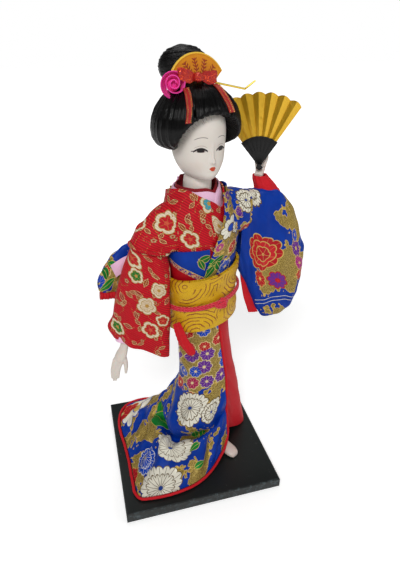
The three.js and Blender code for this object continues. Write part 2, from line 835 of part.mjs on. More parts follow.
// The space inside a layer of cloth, up to the middle of that layer
function roomInside(offset) {
  return loft(bodySections.slice(1).map(([z, a, b, x, y]) => {
    return ovalRing(v3(x, y, z), v3(a + offset, 0, 0), v3(0, b + offset, 0), 28);
  }));
}

addPiece(figure, "red_bodice", cut(
  join(redBodiceWrap, cut(rightShoulder(), roomInside(firstLayer))),
  ...armHoles,
), "red");

const sleeveGrid = foldedRings(rightSleeveStations(), 22, 0.85, 2, 1.6);
addPiece(figure, "sleeve_right", cut(
  loft(sleeveGrid), arm("right", pieceGap), rightCuff(pieceGap), beltRoom(pieceGap),
), "red");
addPiece(figure, "cuff_right", cut(rightCuff(), arm("right", pieceGap)), "pink");

// Blue kimono slipped off the right shoulder: the fold across the chest
const chestFoldTop = 180;
addPiece(figure, "chest_fold", wrap({
  from: -98,
  to: -228,
  columns: 12,
  levels: [1, 0.6, 0],
  low: bodiceBottom,
  high: (angle) => chestFoldTop - 1.5 * wave(angle, -180, 40),
  offset: firstLayer + layerStep,
}), "blue");

// The raised arm and its sleeve lie in an upright plane, turned a little to the front
const leftSleeveTurn = -19 * degrees;
const leftSleeveStart = v3(33, -4, 0);
function onLeftSleeve(along, z) {
  return v3(
    leftSleeveStart.x + along * Math.cos(leftSleeveTurn),
    leftSleeveStart.y + along * Math.sin(leftSleeveTurn),
    z,
  );
}
const leftSleeveAcross = v3(-Math.sin(leftSleeveTurn), Math.cos(leftSleeveTurn), 0);

// Left bodice with its lapel, which crosses from the left of the neck to the front of the belt
const leftOffset = firstLayer + 2 * layerStep;
const leftBackAngle = 112;
const lapelLow = -127;
const lapelSweep = 67;
function leftBodiceWrap() {
  const columns = 16;
  const lapel = (z) => lapelLow + lapelSweep * ((z - bodiceBottom) / (collarTop(-60) - bodiceBottom)) ** 1.15;
  const rows = wrapLevels.map((share) => Array.from({ length: columns }, (_, i) => {
    const high = collarTop(-50 + (180 * i) / (columns - 1));
    const z = bodiceBottom + (high - bodiceBottom) * share;
    const from = lapel(Math.min(z, collarTop(-60)));
    return onSection(bodySections, from + ((leftBackAngle - from) * i) / (columns - 1), z, leftOffset);
  }));
  return sheet(rows, clothThickness);
}

function leftShoulder(grow = 0) {
  return loft(edgeRings([
    [v3(9, 4.5, 214), v3(9, 1, 188), 13],
    [v3(20, 1.5, 214), v3(20, -0.5, 182), 14.8, leftSleeveAcross],
    [v3(27, -1.5, 213), v3(27, -2.5, 182.5), 13.6, leftSleeveAcross],
    [onLeftSleeve(0.5, 211.8), onLeftSleeve(0.5, 184), 10.6, leftSleeveAcross],
  ], 16, 0.9, grow));
}

addPiece(figure, "bodice_left", cut(
  join(leftBodiceWrap(), cut(leftShoulder(), roomInside(leftOffset))),
  ...armHoles,
), "brocade");

// Left sleeve: a bag that hangs from the raised forearm, in upright slices from the shoulder outwards
const leftSleeveSlices = [
  [1.1, 210, 150, 8.6], [3.5, 211, 142.5, 8.6], [6.5, 211.3, 134, 8.4], [10.5, 211.5, 124, 8.2],
  [14.5, 211.5, 114.5, 8.3], [18.5, 211.3, 108, 8.4], [24, 210, 107.5, 8.5], [30, 205.5, 107.5, 8.3],
  [35.5, 198, 109.5, 8], [40, 188, 113, 7.2], [44, 176, 120, 6], [47.5, 166, 135, 4],
];

function leftSleeve(grow = 0) {
  const across = leftSleeveAcross;
  const sides = 22;
  const rings = leftSleeveSlices.map(([along, top, bottom, half], j) => {
    const thick = half * (leftSleeveHalfThickness / 8.5) + 2 * grow;
    const middle = onLeftSleeve(along - (j === 0 ? grow : 0), (top + bottom) / 2);
    const high = v3(0, 0, (top - bottom) / 2 + 2 * grow);
    const ring = ovalRing(middle, high, across.clone().multiplyScalar(thick), sides, 0.8);
    for (const point of ring) {
      const drop = (top - point.z) / (top - bottom);
      const taper = 1 - 0.45 * drop;
      const off = point.clone().sub(middle).dot(across);
      const fold = 1.5 * Math.sin(j * 1.9 + 2.2 * drop) * Math.sin(Math.PI * drop);
      point.addScaledVector(across, off * (taper - 1) + Math.sign(off) * fold * 0.6);
    }
    return ring;
  });
  return loft(rings);
}

function leftCuff(grow = 0) {
  const rings = [
    [v3(53.5, -9.3, 203), 9.5, 7],
    [v3(51, -7.6, 209), 9.6, 7.2],
    [v3(48.6, -5.6, 215), 7, 6.2],
    [v3(46.2, -3.9, 220.5), 4.9, 4.9],
  ].map(([centre, wide, deep]) => {
    const [a, b] = [wide + grow, deep + grow];
    return ovalRing(centre, v3(a * 0.96, -a * 0.2, 0), v3(b * 0.2, b * 0.96, 0), 16);
  });
  return loft(rings);
}

addPiece(figure, "sleeve_left", cut(leftSleeve(), arm("left", pieceGap), leftCuff(pieceGap)), "blue");

// Red lining that shows along the slanted inner edge of the left sleeve: height, near and far edge
const leftLiningEdges = [
  [151, -0.6, 0.4], [143, 0.2, 2.9], [135, 1.6, 5.7], [125, 3.6, 9.6], [117, 6.2, 13], [111.5, 8, 15.6],
];
function leftLining() {
  return sheet(leftLiningEdges.map(([z, near, far]) => (
    [near, (near + far) / 2, far].map((along) => onLeftSleeve(along, z))
  )), clothThickness);
}

addPiece(figure, "sleeve_lining_left", cut(leftLining(), leftSleeve(pieceGap)), "red");

// Empty blue sleeve behind the right side, with its pink lining and red hem
const emptySleeveStations = [
  [-19, 6.5, 56, -19, 6.5, 40, 3, v3(0.8, 0.6, 0)],
  [-25, 18.5, 58, -25, 18.5, 32, 3, v3(0.7, 0.7, 0)],
  [-34, 22.5, 58.5, -33, 21.5, 25, 3.2, v3(0.3, 0.95, 0)],
  [-46, 23, 57, -44, 22, 21.5, 3.8, v3(0.05, 1, 0)],
  [-56, 24, 50.5, -55.5, 23, 22, 3.8, v3(0, 1, 0)],
  [-64, 25, 40.5, -63.5, 24.5, 23.5, 3.2, v3(0, 1, 0)],
  [-68.5, 25, 34, -68, 25, 26, 2, v3(0, 1, 0)],
].map(([xa, ya, high, xb, yb, low, half, facing]) => (
  [v3(xa, ya, obiBottom + high), v3(xb, yb, obiBottom + low), half, facing.normalize()]
));
addPiece(figure, "sleeve_empty", cut(
  loft(edgeRings(emptySleeveStations, 16, 0.85)),
  roomInside(firstLayer + layerStep + clothThickness / 2 + pieceGap),
  beltRoom(pieceGap),
), "blue");

const emptyHemTop = obiBottom + 20.6;
addPiece(figure, "sleeve_empty_hem", sheet([
  [v3(-45, 22.2, emptyHemTop), v3(-57, 23.2, emptyHemTop + 0.6), v3(-69.5, 25, emptyHemTop + 1.7)],
  [v3(-45, 22.2, emptyHemTop - 4.5), v3(-57, 23.2, emptyHemTop - 4), v3(-68.8, 25, emptyHemTop - 3)],
], 2.4), "red");
const emptyLiningTop = obiBottom + 51.5;
addPiece(figure, "sleeve_empty_lining", sheet([
  [v3(-44, 18, emptyLiningTop), v3(-52, 18.5, emptyLiningTop - 2), v3(-60, 20, emptyLiningTop - 6.5)],
  [
    v3(-44, 17.6, emptyLiningTop - 9.5),
    v3(-51, 18, emptyLiningTop - 11.5),
    v3(-57, 19.3, emptyLiningTop - 15.5),
  ],
], clothThickness), "pink");

// Collars: bands that lean in towards the neck, lowest at the front, with their feet inside the bodices
function collarBand({ inset, lift, foot, thickness }) {
  const columns = 26;
  const rows = [1, 0.5, 0].map((share) => Array.from({ length: columns }, (_, i) => {
    const angle = -90 - (360 * i) / columns;
    const lean = inset + collarLean * share;
    const top = collarTop(angle) + lift;
    return v3(
      collarX + (collarHalfWidth - lean) * Math.cos(angle * degrees),
      collarY + (collarHalfDepth - lean) * Math.sin(angle * degrees),
      foot + (top - foot) * share,
    );
  }));
  return sheet(rows, thickness, true);
}

addPiece(figure, "collar_pink", collarBand({
  inset: 0, lift: collarHeight, foot: coreTop + pieceGap, thickness: clothThickness,
}), "pink");
addPiece(figure, "collar_inner", collarBand({
  inset: clothThickness + 2.5 * layerGap,
  lift: collarHeight + 1.6,
  foot: coreTop + pieceGap,
  thickness: clothThickness,
}), "darkRed");

// Back bow: two wings and a centre band, flat against the back of the belt
const bowY = obiPoint(90, 0.5, cordOffset + obiCordRadius + pieceGap).y + bowThickness / 2 + 1.2;
const bowZ = obiBottom + obiHeight * 0.5;
function bowWing(side) {
  const sections = [
    [3.5, 0.42, 0.75], [12, 0.62, 0.95], [26, 0.92, 1], [35, 1, 0.8], [bowHalfWidth, 0.9, 0.45],
  ];
  return loft(sections.map(([x, high, deep]) => ovalRing(
    v3(side * x, bowY - 0.06 * x, bowZ - 0.28 * x),
    v3(0, 0, (bowHeight / 2) * high),
    v3(0, (bowThickness / 2) * deep, 0),
    16,
    0.75,
  )));
}

addPiece(figure, "bow_wing_right", bowWing(-1), "gold");
addPiece(figure, "bow_wing_left", bowWing(1), "gold");
const bowBandSize = v3(3.1, bowThickness / 2 + 0.8, bowHeight * 0.36);
addPiece(figure, "bow_band", blob(v3(0, bowY, bowZ), bowBandSize, 14, 8), "gold");

// Folded red sash at the right hip, below the belt
addPiece(figure, "hip_sash", cut(taperedTube([
  [v3(-26.6, -10.4, obiBottom + 5), 2.4],
  [v3(-25.8, -13.8, obiBottom), 3.1],
  [v3(-24.5, -17.5, obiBottom - 7), 3.4],
  [v3(-21, -21.5, obiBottom - 14.5), 3],
  [v3(-19.6, -23, obiBottom - 18), 1.8],
], 10), beltRoom(pieceGap)), "red");

// Hands
function wristStations(side) {
  const { point, along } = armEnd(side);
  return [
    [point.clone().addScaledVector(along, pieceGap), wristRadius],
    [point.clone().addScaledVector(along, pieceGap + 1.6), wristRadius],
  ];
}

function rightHand() {
  const palm = taperedTube([
    ...wristStations("right"), [v3(-60.3, 8.5, 104), 3.7], [v3(-63, 9, 98), 4.6], [v3(-65, 9.3, 93), 4.2],
  ], 14);
  const tip = v3(-60 - handReach * 0.31, 9.9, 107 - handReach);
  const fingers = taperedTube([
    [v3(-64.6, 9.2, 95), 3.8],
    [v3(-66.6, 9.6, 87), 3.2],
    [tip.clone().add(v3(-0.2, 0, 5)), 2.4],
    [tip, 1.1],
  ], 12);
  const thumb = taperedTube([
    [v3(-62.5, 8.5, 97), 2.6], [v3(-61, 6.6, 89), 1.9], [v3(-61.6, 5.8, 83), 1],
  ], 10);
  return join(palm, fingers, thumb);
}

addPiece(figure, "hand_right", cut(rightHand(), arm("right", pieceGap)), "ivory");

// Fan: rivet, frame and pleated leaf in an upright plane behind the side hair
const fanPivot = v3(46.6, -2.6, 226.6);
const fanAcross = v3(Math.cos((fanTurn - 180) * degrees), Math.sin((fanTurn - 180) * degrees), 0);
const fanFront = v3(fanAcross.y, -fanAcross.x, 0);

function onFan(radius, spread, forward) {
  return fanPivot.clone()
    .addScaledVector(fanAcross, radius * Math.sin(spread * degrees))
    .addScaledVector(fanFront, forward)
    .add(v3(0, 0, radius * Math.cos(spread * degrees)));
}

const rivetBack = -7.5;
const rivetFront = 3.2;
function rivet(grow = 0) {
  return bar(rivetRadius + grow, onFan(0, 0, rivetBack - grow), onFan(0, 0, rivetFront), 12);
}

function rivetHead() {
  return bar(rivetRadius * 1.9, onFan(0, 0, rivetFront - 0.01), onFan(0, 0, rivetFront + 0.8), 12);
}

function leftHand(grow = 0) {
  return taperedTube([
    ...wristStations("left"),
    [onFan(-2.5, 0, -4.3), 3.5], [onFan(2, 0, -4.4), 4.1], [onFan(7, -4, -3.9), 3.4],
    [onFan(13, -7, -3.6), 2.3], [onFan(17.5, -8, -3.4), 1.2],
  ], 12, grow);
}

const fanHubRadius = 3.2;
const fanHubFront = 1.6;
const fanHubBack = 0.1;
const handRoom = loft([
  ovalRing(onFan(0, 0, fanHubBack - pieceGap), fanAcross.clone().multiplyScalar(30), v3(0, 0, 34), 16),
  ovalRing(onFan(0, 0, 20), fanAcross.clone().multiplyScalar(30), v3(0, 0, 34), 16),
]);
addPiece(figure, "hand_left", cut(
  leftHand(), rivet(rivetClearance), handRoom, arm("left", pieceGap),
), "ivory");
addPiece(figure, "cuff_left", cut(leftCuff(), arm("left", pieceGap), leftHand(pieceGap)), "red");
addPiece(figure, "fan_rivet", join(rivet(), rivetHead()), "brass");

function fanFrame() {
  const span = fanLeftSpan + fanRightSpan;
  const steps = fanPleats * 2;
  const spread = (k) => -fanLeftSpan + (span * k) / steps;
  const radii = [fanHubRadius * 0.6, fanFrameRadius];
  const rows = radii.map((radius, j) => Array.from({ length: steps + 1 }, (_, k) => (
    onFan(radius, spread(k), 0.85 + (k % 2 ? 0.25 : -0.25) * j)
  )));
  const plate = sheet(rows, 1.1);
  const hub = bar(fanHubRadius, onFan(0, 0, fanHubBack), onFan(0, 0, fanHubFront + 0.6), 16);
  return cut(join(plate, hub), rivet(rivetClearance));
}

function fanLeaf() {
  const span = fanLeftSpan + fanRightSpan;
  const steps = fanPleats * 2;
  const radii = [fanFrameRadius + pieceGap, (fanFrameRadius + fanRadius) / 2, fanRadius];
  const rows = radii.map((radius, j) => Array.from({ length: steps + 1 }, (_, k) => {
    const pleat = (k % 2 ? 0.5 : -0.5) * fanPleatDepth * (0.5 + 0.5 * j);
    const reach = radius - (j === 2 && k % 2 === 0 ? 1.2 : 0);
    return onFan(reach, -fanLeftSpan + (span * k) / steps, 0.85 + pleat);
  }));
  return sheet(rows, fanLeafThickness);
}

addPiece(figure, "fan_frame", fanFrame(), "fanFrame");
addPiece(figure, "fan_leaf", fanLeaf(), "fanLeaf");

// Hair: one full round shape, widest low down, parted into rolls
const hairX = neckX - 1;
const hairY = neckY - 1.5;
const hairMiddle = (hairBottom + hairTop) / 2;
const skullRoom = join(skull(pieceGap), neck(pieceGap));
const hairProfile = [
  [0, 0.7], [0.07, 0.89], [0.17, 0.98], [0.31, 1], [0.47, 0.97], [0.62, 0.89], [0.76, 0.75], [0.88, 0.56],
  [0.96, 0.34], [1, 0.12],
];

function hairMass(grow = 0) {
  return loft(hairProfile.map(([share, wide]) => {
    const z = hairBottom + (hairTop - hairBottom) * share + grow * (2 * share - 1);
    const side = v3(hairHalfWidth * wide + grow, 0, 0);
    const ring = ovalRing(v3(hairX, hairY, z), side, v3(0, hairHalfDepth * wide + grow, 0), 26);
    for (const point of ring) point.z += hairFrontRise * (1 - share) * Math.max(0, hairY - point.y);
    return ring;
  }));
}

function hairRegion(fromX, toX, fromY, toY) {
  return new THREE.BoxGeometry(toX - fromX, toY - fromY, 2 * hairReach)
    .translate(hairX + (fromX + toX) / 2, hairY + (fromY + toY) / 2, hairMiddle);
}

// The face opening under the front hair: an arch that widens towards the front
function archRing(y, half, spring) {
  const low = hairBottom - 14;
  const arc = Array.from({ length: 15 }, (_, k) => (Math.PI * k) / 14);
  return [
    v3(headCentre.x - half, y, low),
    v3(headCentre.x + half, y, low),
    ...arc.map((angle) => v3(headCentre.x + half * Math.cos(angle), y, spring + half * Math.sin(angle))),
  ];
}

function faceArch() {
  const half = faceHalfWidth + faceOpeningMargin;
  const top = hairBottom + faceHalfWidth + faceOpeningTop;
  return loft([
    archRing(headCentre.y - 4, half, top - half),
    archRing(headCentre.y - 4 - hairHalfDepth, half + faceOpeningFlare, top + 3.4 - half - faceOpeningFlare),
  ]);
}

const bunCentre = v3(hairX - 0.8, hairY + 13.2, bunBottom + bunHeight / 2);
function bun(grow = 0) {
  return blob(bunCentre, v3(bunHalfWidth + grow, bunHalfDepth + grow, bunHeight / 2 + grow), 16, 10);
}

// Hairpin: a straight shaft through the bun's front, with a flattened bent tip
const pinBend = v3(36.5, 4, hairTop - 6.4);
const pinStart = v3(pinBend.x - pinShaft * 0.98, pinBend.y, pinBend.z + pinShaft * 0.2);
function pinShaftBar(grow = 0) {
  const along = pinBend.clone().sub(pinStart).normalize();
  return bar(pinRadius + grow, pinStart.clone().addScaledVector(along, -grow), pinBend, 10);
}

function hairpin() {
  const tipEnd = pinBend.clone().add(v3(pinTip * 0.87, 0, pinTip * 0.5));
  const direction = tipEnd.clone().sub(pinBend).normalize();
  const thin = v3(-direction.z, 0, direction.x);
  const back = pinBend.clone().addScaledVector(direction, -0.4);
  const tip = loft([
    ovalRing(back, v3(0, pinRadius, 0), thin.clone().multiplyScalar(pinRadius), 10),
    ovalRing(
      pinBend.clone().addScaledVector(direction, pinTip * 0.35),
      v3(0, pinRadius * 1.8, 0),
      thin.clone().multiplyScalar(0.5),
      10,
    ),
    ovalRing(tipEnd, v3(0, pinRadius * 1.6, 0), thin.clone().multiplyScalar(0.4), 10),
  ]);
  return join(pinShaftBar(), tip);
}

const pinRoom = pinShaftBar(pinHoleClearance);
const arch = faceArch();
addPiece(figure, "head", headGeometry, "ivory");
const partGap = pieceGap / 2;
const hairRolls = {
  hair_front_roll: hairRegion(-hairPartX + partGap, hairPartX - partGap, -hairReach, hairPartY - partGap),
  hair_side_right: hairRegion(-hairReach, -hairPartX - partGap, -hairReach, hairReach),
  hair_side_left: hairRegion(hairPartX + partGap, hairReach, -hairReach, hairReach),
};
for (const [name, region] of Object.entries(hairRolls)) {
  addPiece(figure, name, cut(meet(hairMass(), region), skullRoom, arch, pinRoom), "hair");
}

// The nape roll reaches lower than the side rolls
const napeRoll = blob(v3(hairX, hairY + 13, hairMiddle - 5), v3(hairPartX - partGap, 12.4, 18), 16, 10);
addPiece(figure, "hair_nape_roll", cut(
  napeRoll, skullRoom, hairRegion(-hairReach, hairReach, -hairReach, hairPartY + partGap), pinRoom,
), "hair");
addPiece(figure, "hair_bun", cut(bun(), hairMass(pieceGap), skullRoom, pinRoom), "hair");

// Comb: a fan-shaped plate that stands between the front roll and the bun
const combCentre = v3(hairX - 0.8, hairY - 3.6, hairTop - 4);
const combArc = 24 * degrees;
const combLean = 0.1;
const combRoll = 0.07;
function combPlate(grow = 0) {
  const outline = new THREE.Shape();
  outline.moveTo(-7, -2);
  outline.lineTo(7, -2);
  outline.absarc(0, 0, combRadius, combArc, Math.PI - combArc, false);
  outline.closePath();
  return new THREE.ExtrudeGeometry(outline, {
    depth: combThickness + 2 * grow, bevelEnabled: false, curveSegments: 16,
  }).translate(0, 0, -combThickness / 2 - grow).rotateX(Math.PI / 2 - combLean).rotateY(-combRoll)
    .translate(combCentre.x, combCentre.y, combCentre.z);
}

const hairRoom = hairMass(pieceGap);
addPiece(figure, "comb", cut(combPlate(), bun(pieceGap), hairRoom, pinRoom), "comb");

// Ribbon bow at the comb's foot, with two tails that lie on the front hair
const ribbonCentre = v3(hairX - 1, hairY - 6.5, hairTop + 0.6);
const combRoom = combPlate(pieceGap);
function ribbonLoop(side, grow = 0) {
  const centre = ribbonCentre.clone().add(v3(side * 7.2, 0, 1.4 - 0.4 * side));
  return blob(centre, v3(8 + grow, 2.6 + grow, 4.2 + grow), 14, 8);
}
const ribbonBow = join(ribbonLoop(-1), ribbonLoop(1));
addPiece(figure, "ribbon_bow", cut(ribbonBow, hairRoom, combRoom, pinRoom), "glitter");

// A point on the front of the hair, a distance away from its surface
function frontOf(x, z, away) {
  const share = (z - hairBottom) / (hairTop - hairBottom);
  let k = 0;
  while (k + 2 < hairProfile.length && share > hairProfile[k + 1][0]) k++;
  const [low, high] = [hairProfile[k], hairProfile[k + 1]];
  const wide = low[1] + ((high[1] - low[1]) * (share - low[0])) / (high[0] - low[0]);
  const dx = Math.min(0.98, Math.abs(x) / (hairHalfWidth * wide));
  const depth = hairHalfDepth * wide * Math.sqrt(1 - dx * dx);
  return v3(hairX + x, hairY - depth - away * Math.sqrt(1 - share * share), z + away * share);
}

const tailWidth = 4.4;
const tailAway = clothThickness / 2 + 0.9;
function ribbonTail(points) {
  const spine = new THREE.CatmullRomCurve3(points.map(([x, drop]) => frontOf(x, hairTop - drop, tailAway)));
  const rows = Array.from({ length: 7 }, (_, k) => {
    const place = spine.getPoint(k / 6);
    return [-1, 1].map((side) => place.clone().add(v3((side * tailWidth) / 2, side * tailWidth * 0.1, 0)));
  });
  return sheet(rows, clothThickness);
}

addPiece(figure, "ribbon_tail_right", cut(
  ribbonTail([[-12, 4.2], [-13.5, 8.5], [-15, 14], [-17, 21]]), hairRoom, ribbonLoop(-1, pieceGap),
), "glitter");
addPiece(figure, "ribbon_tail_left", cut(
  ribbonTail([[8, 3], [9, 6.5], [10.5, 11.5], [11.8, 17]]), hairRoom, ribbonLoop(1, pieceGap),
), "glitter");

// Rose at the doll's right of the bow
const roseCentre = v3(hairX - 17, hairY - 4.5, hairTop - 1);
addPiece(figure, "rose", cut(
  blob(roseCentre, v3(roseRadius, roseRadius * 0.7, roseRadius), 14, 8),
  hairRoom, combRoom, bun(pieceGap), ribbonLoop(-1, pieceGap),
), "rose");

addPiece(figure, "hairpin", hairpin(), "brass");

export default doll;
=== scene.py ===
import bpy
import math
import numpy as np
from mathutils import Matrix, Vector


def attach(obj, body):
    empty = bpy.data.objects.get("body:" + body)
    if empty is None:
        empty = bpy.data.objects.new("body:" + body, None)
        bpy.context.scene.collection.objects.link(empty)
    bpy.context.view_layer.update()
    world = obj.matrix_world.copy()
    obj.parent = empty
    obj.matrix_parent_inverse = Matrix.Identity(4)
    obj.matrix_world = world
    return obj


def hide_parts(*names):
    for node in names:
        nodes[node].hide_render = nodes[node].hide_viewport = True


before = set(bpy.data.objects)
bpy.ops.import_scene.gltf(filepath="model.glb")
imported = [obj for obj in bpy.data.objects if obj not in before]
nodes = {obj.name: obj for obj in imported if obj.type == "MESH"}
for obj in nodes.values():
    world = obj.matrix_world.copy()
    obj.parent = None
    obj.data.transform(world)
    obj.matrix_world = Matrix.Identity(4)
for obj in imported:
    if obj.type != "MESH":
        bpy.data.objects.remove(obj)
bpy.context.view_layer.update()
scene = bpy.context.scene

# The doll's own frame: millimetres, +X its left, -Y its front, heights from the board's top
dollPlace = {"x": 14, "y": 6.7, "boardTop": 8.8, "turn": 15}
dollFrame = (
    Matrix.Translation((dollPlace["x"] / 1000, dollPlace["y"] / 1000, dollPlace["boardTop"] / 1000))
    @ Matrix.Rotation(math.radians(dollPlace["turn"]), 4, "Z")
    @ Matrix.Scale(0.001, 4)
)
dollMatrix = np.array(dollFrame)
dollInverse = np.linalg.inv(dollMatrix)

cameraSetup = {
    "position": (-0.0642, -0.2832, 0.3111), "lens": 29.07, "sensor": 36, "pitch": 27.8, "yaw": 15.07,
    "roll": -0.31,
}
bpy.ops.object.camera_add(location=cameraSetup["position"])
camera = bpy.context.object
camera.name = "photoCamera"
camera.data.lens = cameraSetup["lens"]
camera.data.sensor_width = cameraSetup["sensor"]
camera.rotation_euler = (
    Matrix.Rotation(math.radians(-cameraSetup["yaw"]), 3, "Z")
    @ Matrix.Rotation(math.radians(90 - cameraSetup["pitch"]), 3, "X")
    @ Matrix.Rotation(math.radians(cameraSetup["roll"]), 3, "Z")
).to_euler()
scene.camera = camera
print("camera placed")


def onDoll(points):
    points = np.asarray(points, float)
    return points @ dollMatrix[:3, :3].T + dollMatrix[:3, 3]


def offDoll(points):
    return points @ dollInverse[:3, :3].T + dollInverse[:3, 3]


def deselectAll():
    for other in bpy.context.selected_objects:
        other.select_set(False)


def pick(*objects):
    deselectAll()
    for other in objects:
        other.select_set(True)
    bpy.context.view_layer.objects.active = objects[0]


def applyModifier(piece, kind, **settings):
    pick(piece)
    modifier = piece.modifiers.new(kind.title(), kind)
    for key, value in settings.items():
        setattr(modifier, key, value)
    bpy.ops.object.modifier_apply(modifier=modifier.name)


def smoothShade(piece, angle=50):
    pick(piece)
    bpy.ops.object.shade_smooth_by_angle(angle=math.radians(angle))


def meshValues(piece, key):
    flat = np.empty(len(piece.data.vertices) * 3, np.float32)
    piece.data.vertices.foreach_get(key, flat)
    return flat.reshape(-1, 3).astype(float)


def meshPoints(piece):
    return meshValues(piece, "co")


def meshNormals(piece):
    return meshValues(piece, "normal")


def setPoints(piece, points):
    piece.data.vertices.foreach_set("co", np.asarray(points, np.float32).ravel())
    piece.data.update()


def setUv(piece, pairs, name="UVMap"):
    layer = piece.data.uv_layers.get(name) or piece.data.uv_layers.new(name=name)
    layer.uv.foreach_set("vector", np.asarray(pairs, np.float32).ravel())
    layer.active = True


def loopVertices(piece):
    index = np.empty(len(piece.data.loops), np.int32)
    piece.data.loops.foreach_get("vertex_index", index)
    return index


def closeSeam(piece):
    pick(piece)
    bpy.ops.object.mode_set(mode="EDIT")
    bpy.ops.mesh.select_all(action="SELECT")
    bpy.ops.mesh.remove_doubles(threshold=1e-6)
    bpy.ops.mesh.normals_make_consistent(inside=False)
    bpy.ops.object.mode_set(mode="OBJECT")


def clamp(value):
    return np.clip(value, 0, 1)


def bell(value, middle, width):
    return np.exp(-(((value - middle) / width) ** 2))


def ripple(u, v, length, seed, count=9):
    # Soft waves from a few directions, about length apart
    draw = np.random.default_rng(seed)
    total = np.zeros(np.broadcast(u, v).shape)
    for turn, stretch, phase in draw.uniform((0, 0.7, 0), (math.pi, 1.5, 2 * math.pi), (count, 3)):
        total += np.sin((u * math.cos(turn) + v * math.sin(turn)) * 2 * math.pi / (length * stretch) + phase)
    return total / math.sqrt(count)


def unit(vectors, least=1e-9):
    return vectors / np.maximum(np.linalg.norm(vectors, axis=-1, keepdims=True), least)


def relax(points, times, ring=False):
    for _ in range(times):
        inner = points.copy()
        inner[1:-1] = (points[:-2] + 2 * points[1:-1] + points[2:]) / 4
        points = inner.copy()
        points[:, 1:-1] = (inner[:, :-2] + 2 * inner[:, 1:-1] + inner[:, 2:]) / 4
        if ring:
            points[:, 0] = points[:, -1] = (inner[:, 1] + 2 * inner[:, 0] + inner[:, -2]) / 4
    return points


def gridNormals(points, ring=False):
    across = np.gradient(points, axis=1)
    if ring:
        across[:, 0] = across[:, -1] = points[:, 1] - points[:, -2]
    down = np.gradient(points, axis=0)
    return unit(np.cross(across, down))


def arcLengths(points, column, row):
    along = np.zeros(points.shape[:2])
    along[:, 1:] = np.cumsum(np.linalg.norm(np.diff(points, axis=1), axis=2), axis=1)
    along -= along[:, [column]]
    down = np.zeros(points.shape[:2])
    down[1:] = np.cumsum(np.linalg.norm(np.diff(points, axis=0), axis=2), axis=0)
    down -= down[[row]]
    return along, down


def gridPiece(
    name, across, down, shape, anchor=(0.5, 0.5), ring=False, smooth=0, wrinkles=None, thickness=0.0,
    body="figure"
):
    # A grid laid over a shape that is given in the doll's millimetres; its UV map is its cut, in centimetres
    deselectAll()
    bpy.ops.mesh.primitive_grid_add(x_subdivisions=across, y_subdivisions=down, size=1)
    piece = bpy.context.object
    piece.name = piece.data.name = name
    start = meshPoints(piece)
    column = np.rint((start[:, 0] + 0.5) * across).astype(int)
    row = np.rint((0.5 - start[:, 1]) * down).astype(int)
    s, t = np.meshgrid(np.linspace(0, 1, across + 1), np.linspace(0, 1, down + 1))
    points = shape(s, t)
    if isinstance(points, tuple):
        points = np.stack(np.broadcast_arrays(*points), axis=2)
    points = relax(points, smooth, ring)
    u, v = arcLengths(points, round(anchor[0] * across), round(anchor[1] * down))
    if wrinkles is not None:
        waves = wrinkles(s, t, u, v) if callable(wrinkles) else wrinkles[0] * ripple(u, v, *wrinkles[1:])
        points = points + gridNormals(points, ring) * waves[..., None]
        if ring:
            points[:, -1] = points[:, 0]
    setPoints(piece, onDoll(points[row, column]))
    index = loopVertices(piece)
    setUv(piece, np.stack([u[row, column], -v[row, column]], axis=1)[index] / 10)
    piece["cutWidth"] = float(np.ptp(u, axis=1).max() / 1000)
    piece["cutLength"] = float(np.ptp(v, axis=0).max() / 1000)
    if ring or thickness:
        closeSeam(piece)
    piece["cutArea"] = sum(face.area for face in piece.data.polygons)
    if thickness:
        applyModifier(piece, "SOLIDIFY", thickness=thickness / 1000, offset=0, use_even_offset=False)
    smoothShade(piece)
    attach(piece, body)
    return piece


def curveThrough(points):
    # A smooth curve through points, as a function of its share from 0 to 1
    points = np.asarray(points, float)
    count = len(points)
    padded = np.vstack([2 * points[0] - points[1], points, 2 * points[-1] - points[-2]])

    def at(share):
        share = np.asarray(share, float)
        place = clamp(share) * (count - 1)
        k = np.minimum(place.astype(int), count - 2)
        weight = (place - k)[..., None]
        p0, p1, p2, p3 = (padded[k + step] for step in range(4))
        d0, d1, d2 = (
            np.maximum(np.sqrt(np.linalg.norm(b - a, axis=-1, keepdims=True)), 1e-4)
            for a, b in ((p0, p1), (p1, p2), (p2, p3))
        )
        out = ((p1 - p0) / d0 - (p2 - p0) / (d0 + d1) + (p2 - p1) / d1) * d1
        into = ((p2 - p1) / d1 - (p3 - p1) / (d1 + d2) + (p3 - p2) / d2) * d1
        square, cube = weight ** 2, weight ** 3
        return (
            p1 + out * weight + (3 * (p2 - p1) - 2 * out - into) * square + (2 * (p1 - p2) + out + into)
            * cube
        )
    return at


def tubePiece(
    name, points, radius, around=16, along=40, flat=1.0, up=(0, 0, 1), swell=None, closed=False, body="figure"
):
    # A tube along a curve; radius is a number or a function of the share along it
    line = curveThrough(points)

    def shape(s, t):
        centre = line(t)
        tangent = np.gradient(centre, axis=0)
        if closed:
            tangent[0] = tangent[-1] = centre[1] - centre[-2]
        tangent = unit(tangent)
        side = unit(np.cross(tangent, np.asarray(up, float)))
        other = np.cross(side, tangent)
        size = radius(t) if callable(radius) else np.full(t.shape, float(radius))
        if not closed:
            size = size * np.where((t <= 0) | (t >= 1), 0.001, 1)
        angle = 2 * math.pi * s
        grow = 1 if swell is None else swell(s, t)
        return centre + (
            side * (np.cos(angle) * flat * size * grow)[..., None] + other
            * (np.sin(angle) * size * grow)[..., None]
        )
    return gridPiece(name, around, along, shape, ring=True, body=body)


def soften(piece, voxel, smoothing, body):
    applyModifier(piece, "REMESH", mode="VOXEL", voxel_size=voxel / 1000)
    applyModifier(piece, "SMOOTH", factor=0.5, iterations=smoothing)
    smoothShade(piece, 60)
    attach(piece, body)


